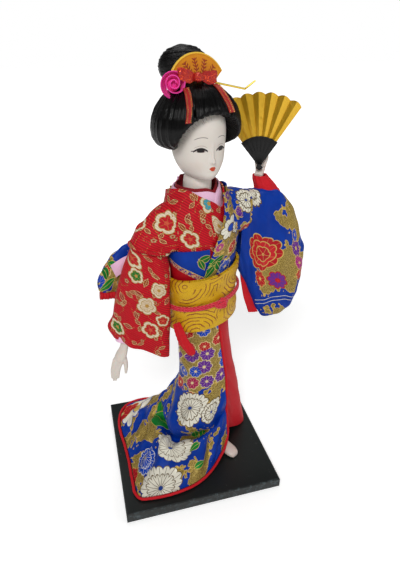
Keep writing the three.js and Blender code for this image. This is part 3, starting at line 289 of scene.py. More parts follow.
def fullerCopy(node, name, voxel, smoothing, body="figure"):
    # A finer, softer copy of a CAD node
    piece = bpy.data.objects.new(name, nodes[node].data.copy())
    piece.data.name = name
    scene.collection.objects.link(piece)
    closeSeam(piece)
    soften(piece, voxel, smoothing, body)
    return piece


class Wire:
    # One value in a node tree, so that sums read as sums
    def __init__(self, socket):
        self.socket = socket
        self.tree = socket.id_data

    def math(self, operation, *others, clamp=False):
        inputs = dict(enumerate((self, *others)))
        return out(addNode(self.tree, "Math", inputs, operation=operation, use_clamp=clamp))

    def __add__(self, other):
        return self.math("ADD", other)

    def __mul__(self, other):
        return self.math("MULTIPLY", other)

    def __sub__(self, other):
        return self.math("SUBTRACT", other)

    def __rsub__(self, other):
        return (self * -1) + other

    def __truediv__(self, other):
        return self.math("DIVIDE", other)

    __radd__ = __add__
    __rmul__ = __mul__

    def size(self):
        return self.math("ABSOLUTE")

    def over(self, level, soft):
        # 0 below the level, 1 a little above it
        return ((self - level) / soft).math("ADD", 0.5, clamp=True)

    def under(self, level, soft):
        return self.over(level, -soft)


def plug(socket, value):
    if isinstance(value, Wire):
        socket.id_data.links.new(value.socket, socket)
    else:
        socket.default_value = value


def addNode(tree, kind, inputs=(), **settings):
    made = tree.nodes.new("ShaderNode" + kind)
    for key, value in settings.items():
        setattr(made, key, value)
    for name, value in dict(inputs).items():
        plug(made.inputs[name], value)
    return made


def out(made, name=0):
    return Wire(made.outputs[name])


def mix(mask, low, high):
    return out(addNode(mask.tree, "Mix", {0: mask, 6: low, 7: high}, data_type="RGBA"), 2)


def split(vector):
    return [Wire(socket) for socket in addNode(vector.tree, "SeparateXYZ", {"Vector": vector}).outputs]


def join(x, y, z=0.0):
    return out(addNode(x.tree, "CombineXYZ", {"X": x, "Y": y, "Z": z}))


def noise(vector, scale, detail=2.0, rough=0.5, warp=0.0):
    inputs = {"Vector": vector, "Scale": scale, "Detail": detail, "Roughness": rough, "Distortion": warp}
    return out(addNode(vector.tree, "TexNoise", inputs))


def voronoi(vector, scale, randomness=1.0):
    inputs = {"Vector": vector, "Scale": scale, "Randomness": randomness}
    return addNode(vector.tree, "TexVoronoi", inputs, voronoi_dimensions="2D")


def turned(vector, angle):
    return split(
        out(addNode(vector.tree, "VectorRotate", {"Vector": vector, "Angle": angle}, rotation_type="Z_AXIS"))
    )


def cellsOf(i, skew, loose):
    # The way from the middle of each cell of a loose grid, and three random numbers of the cell
    scaled = out(
        addNode(i["Scale"].tree, "VectorMath", {0: i["Vector"], "Scale": i["Scale"]}, operation="SCALE")
    )
    moved = out(addNode(
        scaled.tree, "VectorMath", {0: scaled, 1: join(i["Seed"], i["Seed"] * skew)}, operation="ADD",
    ))
    cells = voronoi(moved, 1.0, loose)
    away = out(addNode(moved.tree, "VectorMath", {0: moved, 1: out(cells, "Position")}, operation="SUBTRACT"))
    return away, *split(out(cells, "Color"))


def makeGroup(name, build, **inputs):
    tree = bpy.data.node_groups.new(name, "ShaderNodeTree")
    tree.interface.new_socket(name="Vector", in_out="INPUT", socket_type="NodeSocketVector")
    for label, value in inputs.items():
        socket = tree.interface.new_socket(name=label, in_out="INPUT", socket_type="NodeSocketFloat")
        socket.default_value = value
    entry = tree.nodes.new("NodeGroupInput")
    results = build({label: out(entry, label) for label in ("Vector", *inputs)})
    for label in results:
        tree.interface.new_socket(name=label, in_out="OUTPUT", socket_type="NodeSocketFloat")
    leaving = tree.nodes.new("NodeGroupOutput")
    for label, value in results.items():
        plug(leaving.inputs[label], value)


def use(group, **values):
    made = values["Vector"].tree.nodes.new("ShaderNodeGroup")
    made.node_tree = bpy.data.node_groups[group]
    for label, value in values.items():
        plug(made.inputs[label], value)
    return {socket.name: Wire(socket) for socket in made.outputs}


def petals(x, y, size, count, notch, turn):
    # Distance from the edge of a flower's petals, and the lines between them; inside is above 0
    reach = (x * x + y * y).math("SQRT")
    half = (y.math("ARCTAN2", x) + turn) * count * 0.5
    edge = size * (1 - notch) + half.math("COSINE").size().math("POWER", 0.6) * size * notch
    return reach, edge - reach, half.math("SINE").size()


def flowerBuild(i):
    x, y, _ = split(i["Vector"])
    reach, inside, between = petals(
        x - i["X"], (y - i["Y"]) / i["Stretch"], i["Size"], i["Petals"], i["Notch"], i["Turn"],
    )
    line = i["Line"]
    petal = inside.over(0, 0.012)
    outline = inside.size().under(line, 0.012)
    vein = (between * reach).under(line * 0.9, 0.012) * petal * reach.over(i["Size"] * 0.25, 0.02)
    heart = reach.under(i["Size"] * i["Heart"], 0.02)
    rim = (reach - i["Size"] * i["Heart"]).size().under(line, 0.012)
    return {"Petal": petal, "Outline": outline.math("MAXIMUM", vein), "Heart": heart, "Rim": rim}


makeGroup(
    "flower", flowerBuild, X=0.0, Y=0.0, Stretch=1.0, Size=0.7, Petals=5.0, Notch=0.3, Turn=0.0, Line=0.035,
    Heart=0.3,
)


def scatterBuild(i):
    # One flower in each cell of a loose grid, each with its own turn
    away, red, green, blue = cellsOf(i, 1.7, 0.62)
    x, y, _ = split(away)
    size = i["Size"] * (0.8 + green * 0.35)
    reach, inside, between = petals(x, y, size, i["Petals"], i["Notch"], red * 6.283)
    kept = blue.under(i["Keep"], 0.001)
    line = i["Line"]
    petal = inside.over(0, 0.02)
    vein = (between * reach).under(line * 0.8, 0.02) * petal
    return {
        "Petal": petal * kept,
        "Outline": inside.size().under(line, 0.02).math("MAXIMUM", vein) * kept,
        "Heart": reach.under(size * i["Heart"], 0.03) * kept,
        "Rim": (reach - size * i["Heart"]).size().under(line, 0.02) * kept,
        "Random": red,
        "Other": green,
    }


makeGroup(
    "scatteredFlowers", scatterBuild, Scale=0.8, Seed=0.0, Size=0.3, Petals=5.0, Notch=0.3, Keep=1.0,
    Line=0.03, Heart=0.3,
)


def leafBuild(i):
    # Pairs of pointed leaves, scattered and turned
    away, red, green, blue = cellsOf(i, 2.3, 0.5)
    x, y, _ = turned(away, red * 6.283)
    side = x.size()
    along = (side * 0.82 + y * 0.57 - i["Size"] * 1.25) / i["Size"]
    drop = y * 0.82 - side * 0.57
    inside = (1 - along * along).math("MAXIMUM", 0.0) * i["Size"] * 0.46 - drop.size()
    kept = blue.under(i["Keep"], 0.001)
    leaf = inside.over(0.006, 0.012) * kept
    return {
        "Leaf": leaf,
        "Outline": inside.over(-0.022, 0.012) * along.size().under(1.1, 0.05) * kept * (1 - leaf),
        "Vein": drop.size().under(0.008, 0.008) * leaf, "Random": green,
    }


makeGroup("scatteredLeaves", leafBuild, Scale=0.8, Seed=0.0, Size=0.16, Keep=1.0)


def leafAtBuild(i):
    # One pointed leaf with its middle at X and Y
    x, y, _ = split(i["Vector"])
    x, y, _ = turned(join(x - i["X"], y - i["Y"]), i["Turn"])
    along = x / i["Size"]
    inside = (1 - along * along).math("MAXIMUM", 0.0) * i["Size"] * 0.5 - y.size()
    leaf = inside.over(0.015, 0.02)
    return {
        "Leaf": leaf, "Outline": inside.over(-0.025, 0.015) * (1 - leaf) * along.size().under(1.12, 0.05),
        "Vein": y.size().under(0.014, 0.012) * leaf,
    }


makeGroup("leaf", leafAtBuild, X=0.0, Y=0.0, Size=0.25, Turn=0.0)


def chrysanthemumBuild(i):
    # Rings of narrow petals, each ring half a petal on from the last
    x, y, _ = split(i["Vector"])
    x, y = x - i["X"], (y - i["Y"]) / i["Stretch"]
    reach = (x * x + y * y).math("SQRT")
    angle = (y.math("ARCTAN2", x) + i["Turn"]) * i["Petals"] * 0.5
    line, lines, petal = i["Line"], None, None
    for share, shift, inner, notch in ((1.0, 0.0, 0.5, 0.18), (0.66, 1.5708, 0.0, 0.3)):
        half = angle + shift
        uneven = (angle * 0.37 + i["X"]).math("SINE") * 0.06
        edge = i["Size"] * share * (
            0.98 - notch + uneven + half.math("COSINE").size().math("POWER", 0.45) * notch
        )
        within = (edge - reach).over(0, 0.01)
        rim = (edge - reach).size().under(line, 0.012)
        sides = (
            (
                half.math("SINE").size() * reach * i["Petals"].math("MAXIMUM", 1.0).math("POWER", -1.0) * 4
            ).under(line, 0.012)
        )
        own = rim.math("MAXIMUM", sides * within * reach.over(i["Size"] * inner * 1.02, 0.01))
        if petal is None:
            petal, lines = within, own * reach.over(i["Size"] * inner, 0.01)
        else:
            lines = lines * (1 - within) + own
    heart = reach.under(i["Size"] * 0.1, 0.02)
    return {"Petal": petal, "Outline": lines.math("MINIMUM", 1.0), "Heart": heart}


makeGroup(
    "chrysanthemum", chrysanthemumBuild, X=0.0, Y=0.0, Stretch=1.0, Size=1.6, Petals=18.0, Turn=0.0,
    Line=0.03,
)


def cloudBuild(i):
    # Scalloped patches of metal thread, with the fine speckle that the thread gives
    drift = noise(i["Vector"], i["Scale"], 2.0, 0.55, 0.6)
    bumps = out(voronoi(i["Vector"], i["Scale"] * 5.5))
    mask = (drift - bumps * 0.12 + i["Amount"]).over(0.5, 0.02)
    speck = noise(i["Vector"], 38.0, 1.0, 0.6)
    thread = noise(i["Vector"], 16.0, 3.0, 0.7, 1.5)
    edge = (drift - bumps * 0.12 + i["Amount"] - 0.51).size().under(0.012, 0.01)
    return {"Mask": mask, "Speck": speck.over(0.52, 0.12), "Thread": thread.over(0.5, 0.1), "Edge": edge}


makeGroup("goldCloud", cloudBuild, Scale=0.55, Amount=0.0)


def weaveBuild(i):
    # Two sets of threads, or one leaning rib where Lean is set
    u, v, _ = split(i["Vector"])
    first = ((u + v * i["Lean"]) * i["Threads"] * 6.283).math("SINE")
    second = ((v - u * i["Lean"]) * i["Threads"] * 6.283).math("SINE")
    return {"Height": (first + second * i["Cross"]) * 0.25 + 0.5, "Fuzz": noise(
        i["Vector"], i["Threads"] * 2.2, 2.0, 0.7,
    )}


makeGroup("weave", weaveBuild, Threads=18.0, Lean=0.0, Cross=1.0)


def strandBuild(i):
    # Combed fibres: fine across, long along
    u, v, _ = split(i["Vector"])
    fine = noise(join(u * 14.0, v * 0.35), 2.6, 3.0, 0.7)
    broad = noise(join(u * 3.0, v * 0.25), 1.4, 2.0, 0.5)
    return {"Height": fine * 0.7 + broad * 0.5, "Tone": (fine * 0.6 + broad * 0.4).over(0.52, 0.3)}


makeGroup("strands", strandBuild)


def edgeWearBuild(i):
    # Rubbed marks that gather near the edges of a box about the origin of X and Y
    x, y, z = split(i["Vector"])
    side = x.size().math("MAXIMUM", y.size())
    near = side.over(i["Half"], i["Reach"])
    marks = noise(i["Vector"], 260.0, 4.0, 0.7)
    broad = noise(i["Vector"], 45.0, 3.0, 0.6)
    return {
        "Wear": (near * marks.over(0.56, 0.1) * broad.over(0.42, 0.2)),
        "Dust": marks.over(0.68, 0.06) * broad.over(0.5, 0.1),
    }


makeGroup("edgeWear", edgeWearBuild, Half=0.0593, Reach=0.0012)


finishes = {}


def startMaterial(name, coords="UV"):
    material = finishes[name] = bpy.data.materials.new(name)
    material.use_nodes = True
    shader = next(item for item in material.node_tree.nodes if item.type == "BSDF_PRINCIPLED")
    return shader, out(addNode(material.node_tree, "TexCoord"), coords)


def setShader(shader, **values):
    for label, value in values.items():
        plug(shader.inputs[label.replace("_", " ")], value)


def finishSurface(shader, colour, rough, height, depth, strength, **values):
    bump = addNode(shader.id_data, "Bump", {"Height": height, "Distance": depth, "Strength": strength})
    setShader(shader, Base_Color=colour, Roughness=rough, Normal=out(bump), **values)


def rgb(red, green, blue):
    # A colour as it is seen on a screen, 0 to 255, as the light that nodes work in
    return (
        tuple(((c / 255 + 0.055) / 1.055) ** 2.4 if c > 10 else c / 3294 for c in (red, green, blue)) + (1.0,)
    )


def paint(finish, piece):
    piece.data.materials.clear()
    piece.data.materials.append(finishes[finish])


def dress(finish, node, piece):
    # The piece gets its finish and slot, and hides the CAD node that it stands for
    if node:
        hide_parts(node)
    paint(finish, piece)


def clothe(finish, node, piece):
    dress(finish, node, piece)


def pad(finish, node, piece):
    dress(finish, node, piece)


stageSetup = {
    "size": 14, "floor": (0.84, 0.84, 0.835, 1), "lift": 0.44, "near": 0.28, "far": 0.8, "world": 0.2,
}
bpy.ops.mesh.primitive_plane_add(size=stageSetup["size"])
floor = bpy.context.object
floor.name = "studioFloor"
floorMaterial = bpy.data.materials.new("studioPaper")
floorMaterial.use_nodes = True
floorTree = floorMaterial.node_tree
floorShader = next(item for item in floorTree.nodes if item.type == "BSDF_PRINCIPLED")
rays = addNode(floorTree, "LightPath")
seen = out(rays, "Is Camera Ray").math("MAXIMUM", out(rays, "Is Glossy Ray")).math(
    "MAXIMUM", out(rays, "Is Transmission Ray"),
)
setShader(
    floorShader, Base_Color=stageSetup["floor"], Roughness=0.9, Specular_IOR_Level=0.0,
    Emission_Color=(1, 1, 1, 1),
)
floorCoords = out(addNode(floorTree, "TexCoord"), "Object")
floorX, floorY, _ = split(floorCoords)
away = ((floorX * floorX + floorY * floorY).math("SQRT") - stageSetup["near"]) / (
    stageSetup["far"] - stageSetup["near"]
)
lift = away.math("ADD", 0.0, clamp=True) * (1 - stageSetup["lift"]) + stageSetup["lift"]
plug(floorShader.inputs["Emission Strength"], seen * lift)
floor.data.materials.append(floorMaterial)

world = bpy.data.worlds.new("studioWorld")
scene.world = world
world.use_nodes = True
worldTree = world.node_tree
background = next(item for item in worldTree.nodes if item.type == "BACKGROUND")
worldRays = addNode(worldTree, "LightPath")
worldSeen = out(worldRays, "Is Camera Ray").math("MAXIMUM", out(worldRays, "Is Transmission Ray"))
background.inputs["Color"].default_value = (1, 1, 1, 1)
plug(background.inputs["Strength"], worldSeen * (1 - stageSetup["world"]) + stageSetup["world"])
scene.view_settings.view_transform = "Standard"

lamps = {
    "keyPanel": {"place": (-0.35, -0.85, 0.95), "size": 0.36, "power": 8.0},
    "fillPanel": {"place": (0.85, -0.5, 0.6), "size": 0.7, "power": 1.7},
    "topPanel": {"place": (0.1, 0.35, 1.1), "size": 0.5, "power": 3.2},
}
for lampName, lamp in lamps.items():
    bpy.ops.object.light_add(type="AREA", location=lamp["place"])
    light = bpy.context.object
    light.name = lampName
    light.data.size = lamp["size"]
    light.data.energy = lamp["power"]
    towards = Vector((0.01, 0.0, 0.15)) - Vector(lamp["place"])
    light.rotation_euler = towards.to_track_quat("-Z", "Y").to_euler()
print("stage and lamps placed")


gold = rgb(196, 164, 82)
paleGold = rgb(226, 208, 150)


def lay(colour, masks, **tones):
    for label, tone in tones.items():
        colour = mix(masks[label], colour, tone)
    return colour


def addLeaves(uv, colour, places, tones, outline):
    for x, y, turn, size in places:
        leaf = use("leaf", Vector=uv, X=x, Y=y, Turn=turn, Size=size * 1.2)
        colour = lay(
            colour, leaf, Outline=outline, Leaf=tones[int(abs(x * 7 + y * 3)) % len(tones)], Vein=outline,
        )
    return colour


# groove sets how dark the painted shade in the grooves between the ribs is
crepeSetup = {"bloom": 1.3, "rib": 5.6, "groove": 0.5}


def crepe(name, flowers, leaves, seed, lean):
    # Red crepe: a slanting rib with painted shade in the grooves between the ribs, dotted vines, small
    # blossoms, and flowers and leaves in places of their own
    shader, uv = startMaterial(name)
    colour = mix(noise(uv, 0.9, 2.0), rgb(194, 8, 24), rgb(222, 18, 38))
    vine = noise(uv, 0.62, 1.0, 0.4)
    stem = (vine - 0.5).size().under(0.006, 0.006)
    dots = out(voronoi(uv, 11.0)).under(0.3, 0.1)
    colour = mix(stem * dots, colour, gold)
    small = use(
        "scatteredFlowers", Vector=uv, Scale=0.95, Seed=seed, Size=0.16, Keep=0.6, Notch=0.35, Line=0.028,
        Heart=0.34,
    )
    colour = mix(small["Petal"], colour, rgb(226, 190, 146))
    colour = mix(small["Rim"].math("MAXIMUM", small["Outline"] * 0.7), colour, rgb(150, 96, 40))
    colour = mix(small["Heart"], colour, rgb(190, 36, 40))
    colour = addLeaves(uv, colour, leaves, (rgb(170, 84, 34), rgb(160, 34, 26)), rgb(226, 198, 140))
    scattered = use("scatteredLeaves", Vector=uv, Scale=0.72, Seed=seed, Size=0.17, Keep=0.8)
    colour = mix(scattered["Leaf"], colour, rgb(166, 66, 34))
    colour = mix(scattered["Outline"].math("MAXIMUM", scattered["Vein"]), colour, rgb(222, 192, 132))
    heights = small["Petal"]
    hearts = {
        "plum": rgb(196, 24, 36), "green": rgb(24, 118, 40), "cream": rgb(226, 204, 170),
        "sea": rgb(60, 160, 176),
    }
    rimGold = rgb(186, 146, 66)
    for x, y, size, kind in flowers:
        size = size * crepeSetup["bloom"]
        found, rim, core = (
            use(
                "flower", Vector=uv, X=x, Y=y, Size=size * share, Petals=5.0, Notch=notch, Turn=x * 3.0,
                Line=line, Heart=heart,
            )
            for share, notch, line, heart in (
                (1, 0.26, size * 0.13, 0.42), (1.08, 0.26, 0.02, 0.2), (0.7, 0.3, 0.022, 0.3),
            )
        )
        colour = mix(found["Petal"], mix(rim["Petal"], colour, rimGold), rgb(232, 216, 186))
        middle = rgb(214, 90, 60) if kind == "plum" else rgb(196, 150, 70)
        colour = lay(colour, core, Petal=hearts[kind], Outline=rimGold, Heart=middle)
        heights = heights.math("MAXIMUM", found["Petal"])
    u, v, _ = split(uv)
    rib = use("weave", Vector=join(v, u), Threads=crepeSetup["rib"], Lean=lean, Cross=0.0)
    # Painted shade: the grooves between the ribs are darkened to dark red, less under the flowers
    colour = mix(
        (0.6 - rib["Height"]).math("MAXIMUM", 0.0) * (3 - heights * 2) * crepeSetup["groove"], colour,
        rgb(86, 4, 10),
    )
    finishSurface(
        shader, colour, rib["Fuzz"] * 0.2 + 0.5, rib["Height"] + rib["Fuzz"] * 0.35 + heights * 0.25, 0.00045,
        1.0, Sheen_Weight=0.04, Sheen_Roughness=0.4, Specular_IOR_Level=0.22,
    )


def brocadeGround(uv, amount, scale=0.5, patches=()):
    # Blue satin with clouds of gold thread, thickest about the patches
    satin = mix(noise(uv, 0.8, 3.0), rgb(1, 38, 126), rgb(2, 64, 176))
    u, v, _ = split(uv)
    for px, py, wide, gain in patches:
        dx, dy = u - px, v - py
        near = (1 - (dx * dx + dy * dy).math("SQRT") / wide).math("MAXIMUM", 0.0)
        amount = near * gain + amount
    cloud = use("goldCloud", Vector=uv, Scale=scale, Amount=amount)
    lame = mix(cloud["Thread"], rgb(112, 88, 30), rgb(206, 178, 92))
    lame = mix(cloud["Speck"] * 0.6, lame, rgb(72, 64, 52))
    colour = mix(cloud["Mask"], satin, lame)
    colour = mix(cloud["Edge"], colour, rgb(206, 172, 84))
    return colour, cloud


def addBlossoms(uv, colour, seed, scale, size, keep, tones, count=8.0, notch=0.3, area=None):
    found = use(
        "scatteredFlowers", Vector=uv, Scale=scale, Seed=seed, Size=size, Keep=keep, Notch=notch,
        Petals=count, Line=0.022, Heart=0.2,
    )
    tone = mix(found["Random"].over(0.5, 0.01), tones[0], tones[1])
    tone = mix(found["Other"].over(0.66, 0.01), tone, tones[2])
    inside = 1.0
    if area:
        u, v, _ = split(uv)
        inside = u.over(area[0], 0.1) * u.under(area[1], 0.1) * v.over(area[2], 0.1) * v.under(area[3], 0.1)
    masks = {label: mask * inside for label, mask in found.items()}
    return lay(colour, masks, Petal=tone, Outline=paleGold, Heart=rgb(222, 200, 150))


def addFlower(
    uv, colour, centre, size, tones, count=5, notch=0.3, turn=0.0, heart=0.25, line=0.03, stretch=1.0
):
    found = use(
        "flower", Vector=uv, X=centre[0], Y=centre[1], Size=size, Petals=count, Notch=notch, Turn=turn,
        Heart=heart, Line=line, Stretch=stretch,
    )
    return lay(colour, found, Petal=tones[0], Outline=tones[1], Heart=tones[2], Rim=tones[1])


def addPeony(uv, colour, centre, size):
    # Lobed rings of petals one within the other, on a slant
    u, v, _ = split(uv)
    leaning = join(u + (v - centre[1]) * 0.42, v)
    for share, lobes, turn, tone in (
        (1.0, 9, 0.3, redTone), (0.72, 7, 1.1, rgb(200, 36, 44)), (0.43, 5, 0.5, redTone),
    ):
        colour = addFlower(
            leaning, colour, centre, size * share, (tone, goldLine, redTone), lobes, 0.18, turn, 0.12, 0.034,
            1.3,
        )
    return colour


def addChrysanthemum(uv, colour, centre, size, tones, count=18, turn=0.0, line=0.03, stretch=1.0):
    found = use(
        "chrysanthemum", Vector=uv, X=centre[0], Y=centre[1], Size=size, Petals=count, Turn=turn, Line=line,
        Stretch=stretch,
    )
    return lay(colour, found, Petal=tones[0], Outline=tones[1], Heart=tones[2])


def finishBrocade(shader, uv, colour, metal):
    threads = use("weave", Vector=uv, Threads=15.0, Lean=0.0, Cross=0.7)
    finishSurface(
        shader, colour, threads["Fuzz"] * 0.2 + 0.3,
        threads["Height"] * 0.6 + threads["Fuzz"] * 0.5 + metal * 0.3, 0.00013, 0.8, Metallic=metal * 0.3,
        Specular_IOR_Level=0.14,
    )


blueTone, redTone, purpleTone = rgb(22, 70, 180), rgb(180, 26, 36), rgb(100, 44, 140)
magentaTone, greenTone, whiteTone = rgb(164, 40, 122), rgb(14, 104, 36), rgb(230, 226, 210)


def plainCloth(name, low, high, threads=16.0, lean=0.0, cross=1.0, rough=0.55, depth=0.00012, sheen=0.06):
    shader, uv = startMaterial(name)
    cloth = use("weave", Vector=uv, Threads=threads, Lean=lean, Cross=cross)
    # Tone: part random drift, part painted shade that darkens the low parts of the weave between threads
    tone = noise(uv, 1.3, 3.0) * 0.6 + cloth["Height"] * 0.4
    finishSurface(
        shader, mix(tone, low, high), cloth["Fuzz"] * 0.2 + rough, cloth["Height"] + cloth["Fuzz"] * 0.5,
        depth, 0.8, Sheen_Weight=sheen, Sheen_Roughness=0.4, Specular_IOR_Level=0.26,
    )


def brocade(name, amount, scale, scattered, motifs=(), leaves=(), patches=(), lines=()):
    # Blue brocade with its gold clouds, scattered blossoms and the flowers that have a place of their own
    shader, uv = startMaterial(name)
    colour, cloud = brocadeGround(uv, amount, scale, patches)
    for row in scattered:
        colour = addBlossoms(uv, colour, *row)
    for kind, *rest in motifs:
        colour = (
            {"chrysanthemum": addChrysanthemum, "peony": addPeony, "flower": addFlower}[kind](uv, colour, *rest)
        )
    colour = addLeaves(uv, colour, leaves, (greenTone, rgb(20, 126, 48)), rgb(206, 180, 96))
    if lines:
        u, v, _ = split(uv)
        for slope, level, start, end in lines:
            drawn = (
                (u - v * slope - level).size().under(0.022, 0.02) * v.over(start, 0.05) * v.under(end, 0.05)
            )
            colour = mix(drawn, colour, whiteTone)
    finishBrocade(shader, uv, colour, cloud["Mask"])


smallBlossoms = (3.0, 0.62, 0.34, 0.6, (blueTone, redTone, purpleTone), 8.0)
denseBlossoms = (7.0, 0.84, 0.47, 1.0, (blueTone, redTone, purpleTone), 8.0, 0.24, (-30, 30, 0.9, 20))
trainBlossoms = (2.0, 0.34, 0.34, 0.7, (redTone, blueTone, magentaTone), 10.0, 0.2, (13, 60, -20, 1.0))
goldRed = rgb(138, 58, 26)
goldLine = rgb(206, 176, 96)
brownLine = rgb(96, 76, 34)


def small(x, y, tone, size=0.62):
    return ("flower", (x, y), size, (tone, goldLine, rgb(206, 180, 120)), 8, 0.24, x, 0.16, 0.028)


def white(x, y, size, count=14, stretch=1.0, turn=0.0):
    return (
        "chrysanthemum", (x, y), size, (whiteTone, brownLine, rgb(40, 70, 150)), count, turn, 0.036, stretch,
    )


skirtMotifs = [
    white(0.27, -0.35, 1.4), white(-1.6, -0.8, 0.9, 9), white(1.34, -5.1, 2.1, 16, 0.5),
    white(1.27, -8.25, 1.8, 16),
    ("chrysanthemum", (4.0, -7.2), 1.3, (blueTone, whiteTone, goldLine), 12, 0.4, 0.03, 0.8),
    ("flower", (11.0, -6.1), 2.3, (whiteTone, blueTone, goldLine), 7, 0.3, 0.0, 0.3, 0.05, 0.5),
    small(4.7, -9.0, redTone, 0.8), small(11.6, -7.4, redTone, 1.1),
]
skirtLeaves = [
    (5.3, -3.1, 0.0, 1.4), (4.7, -3.8, 0.1, 1.3), (-0.3, -3.0, 1.57, 0.55), (-0.9, -3.2, 1.4, 0.5),
    (-0.7, -4.9, 0.8, 0.45), (-1.5, -6.2, 0.9, 0.45),
]
skirtPatches = [
    (-0.6, 4.4, 5.2, 0.4), (-0.7, -3.5, 2.0, 0.36), (10.2, -4.9, 2.6, 0.32), (5.6, -4.9, 2.3, 0.34),
    (4.5, -8.8, 2.3, 0.34), (-1.7, -6.7, 1.5, 0.34), (20, -5, 7.0, 0.16),
]
sleeveMotifs = [
    ("peony", (-0.05, 1.15), 1.4),
    ("flower", (-2.17, 1.32), 0.66, (redTone, goldLine, rgb(220, 180, 90)), 8, 0.28, 0.2, 0.16, 0.03, 1.2),
    ("flower", (-1.8, -0.4), 0.72, (purpleTone, redTone, rgb(200, 40, 40)), 8, 0.3, 0.0, 0.2, 0.05, 1.2),
    small(1.5, -2.3, purpleTone, 0.7), small(0.5, -2.7, magentaTone, 0.6), small(-0.6, -2.6, redTone, 0.55),
    small(2.4, -2.0, blueTone, 0.5), white(3.5, 2.3, 1.0, 12), white(4.0, 5.2, 0.9, 12),
    small(-8.5, 0.6, redTone, 0.8), white(-10.5, 1.0, 1.3), small(-7.0, -1.2, purpleTone, 0.7),
    small(-12.2, -0.5, blueTone, 0.7),
]
sleevePatches = [
    (-0.8, 0.4, 3.1, 0.36), (-2.0, -1.2, 2.4, 0.36), (1.2, -2.8, 2.8, 0.4), (-4.6, -0.8, 1.4, 0.36),
    (4.0, 3.0, 2.4, 0.36), (4.0, -1.6, 2.4, 0.36), (-9.5, 0.4, 3.5, 0.28),
]
bodiceMotifs = [
    white(1.0, 0.15, 0.85, 10), small(0.3, 1.0, purpleTone, 0.4), small(-0.9, 1.6, redTone, 0.5),
    white(-2.6, 2.6, 1.0, 12), small(-1.8, 0.4, redTone, 0.5), white(-4.4, 1.2, 0.9, 12),
    small(-3.4, -0.8, blueTone, 0.6),
]
lapelMotifs = [
    ("flower", (0.25, -0.1), 0.86, (whiteTone, brownLine, blueTone), 7, 0.3, 0.2, 0.34, 0.035),
    small(-0.1, 2.1, purpleTone, 0.36), small(0.2, 3.2, blueTone, 0.4), small(-0.2, -1.4, magentaTone, 0.34),
    white(0.0, 4.2, 0.5, 9),
]
lapelLeaves = [
    (-0.55, -2.45, 0.4, 0.52), (-0.2, -3.15, 1.9, 0.5), (0.1, -2.4, 2.6, 0.48), (-0.75, -3.2, 1.1, 0.5),
    (0.3, -2.9, 0.9, 0.4),
]


def chestFinish():
    # Plain blue above a slanting patterned strip, and red below it
    shader, uv = startMaterial("chestBrocade")
    u, v, _ = split(uv)
    satin = mix(noise(uv, 0.8, 3.0), rgb(1, 40, 130), rgb(3, 64, 172))
    colour = addLeaves(
        uv, satin, [(-1.2, -0.62, 0.3, 0.42), (-0.95, -1.0, 1.9, 0.36)], (greenTone,), goldLine,
    )
    line = v - u * 0.5825 + 1.39
    speck = noise(uv, 9.0, 2.0)
    strip = mix(speck.over(0.5, 0.1), rgb(170, 56, 84), rgb(206, 176, 130))
    strip = mix(noise(uv, 4.0, 1.0).over(0.56, 0.05), strip, rgb(40, 60, 140))
    colour = mix(line.under(0.0, 0.03), colour, strip)
    colour = mix((line + 0.02).size().under(0.03, 0.02), colour, goldLine)
    colour = mix(line.under(-0.42, 0.03), colour, rgb(176, 14, 28))
    finishBrocade(shader, uv, colour, 0.0)


def goldBrocade():
    # Gold satin with brown-red lines in rings, as water round stones
    shader, uv = startMaterial("goldBrocade")
    base = mix(noise(uv, 0.9, 3.0), rgb(200, 150, 4), rgb(230, 184, 16))
    cells = voronoi(uv, 0.34, 0.9)
    drift = noise(uv, 1.1, 3.0)
    rings = (out(cells) * 62.0 + drift * 9.0).math("SINE")
    area = noise(uv, 0.75, 1.0).over(0.46, 0.05)
    line = rings.over(0.7, 0.3) * area
    colour = mix(line, base, goldRed)
    leaf = use("scatteredLeaves", Vector=uv, Scale=0.9, Seed=7.0, Keep=0.3, Size=0.16)
    colour = mix(leaf["Leaf"] * (1 - area), colour, rgb(176, 110, 30))
    threads = use("weave", Vector=uv, Threads=13.0, Lean=0.0, Cross=0.6)
    spark = noise(uv, 26.0, 2.0, 0.7)
    colour = mix(spark.over(0.6, 0.06) * 0.7, colour, rgb(252, 216, 72))
    colour = mix(spark.under(0.4, 0.06) * 0.6, colour, rgb(120, 82, 8))
    finishSurface(
        shader, colour, threads["Fuzz"] * 0.25 + 0.3,
        threads["Height"] * 0.7 + threads["Fuzz"] * 0.6 + line * 0.5, 0.00016, 0.9, Metallic=0.15,
        Specular_IOR_Level=0.3,
    )


def redCord():
    shader, uv = startMaterial("redCord")
    u, v, _ = split(uv)
    plait = ((u * 17.0 + v * 11.0).math("SINE") * (u * 17.0 - v * 11.0).math("SINE")).math("ABSOLUTE")
    # Painted shade: the cord is darker in the grooves between its twisted strands and lighter on their crowns
    colour = mix(plait, rgb(196, 18, 44), rgb(236, 48, 78))
    fine = noise(join(u * 60.0, v * 20.0), 1.0, 2.0)
    finishSurface(
        shader, colour, fine * 0.2 + 0.4, plait + fine * 0.3, 0.00025, 0.9, Sheen_Weight=0.3,
        Sheen_Roughness=0.4,
    )


def smoothPlastic(name, low, high, rough, coat, scale=9.0):
    # Moulded plastic: a faint drift of tone and the softest of dimples
    shader, coords = startMaterial(name, "Object")
    drift = noise(coords, scale * 12, 2.0)
    grain = noise(coords, 900.0, 2.0)
    finishSurface(
        shader, mix(drift, low, high), grain * 0.12 + rough, grain, 0.00002, 0.5, Coat_Weight=coat,
        Coat_Roughness=0.3, Subsurface_Weight=0.8 * coat, Subsurface_Scale=0.002, Specular_IOR_Level=0.3,
    )


faceSetup = {
    "brow": {"x": 7.2, "y": 27.1, "half": 3.6, "thick": 0.2}, "eye": {"x": 7.0, "y": 20.5, "half": 3.6},
    "mouth": {"y": 8.15, "half": 2.25}, "hairline": {"y": 20.8, "reach": 15.6},
}


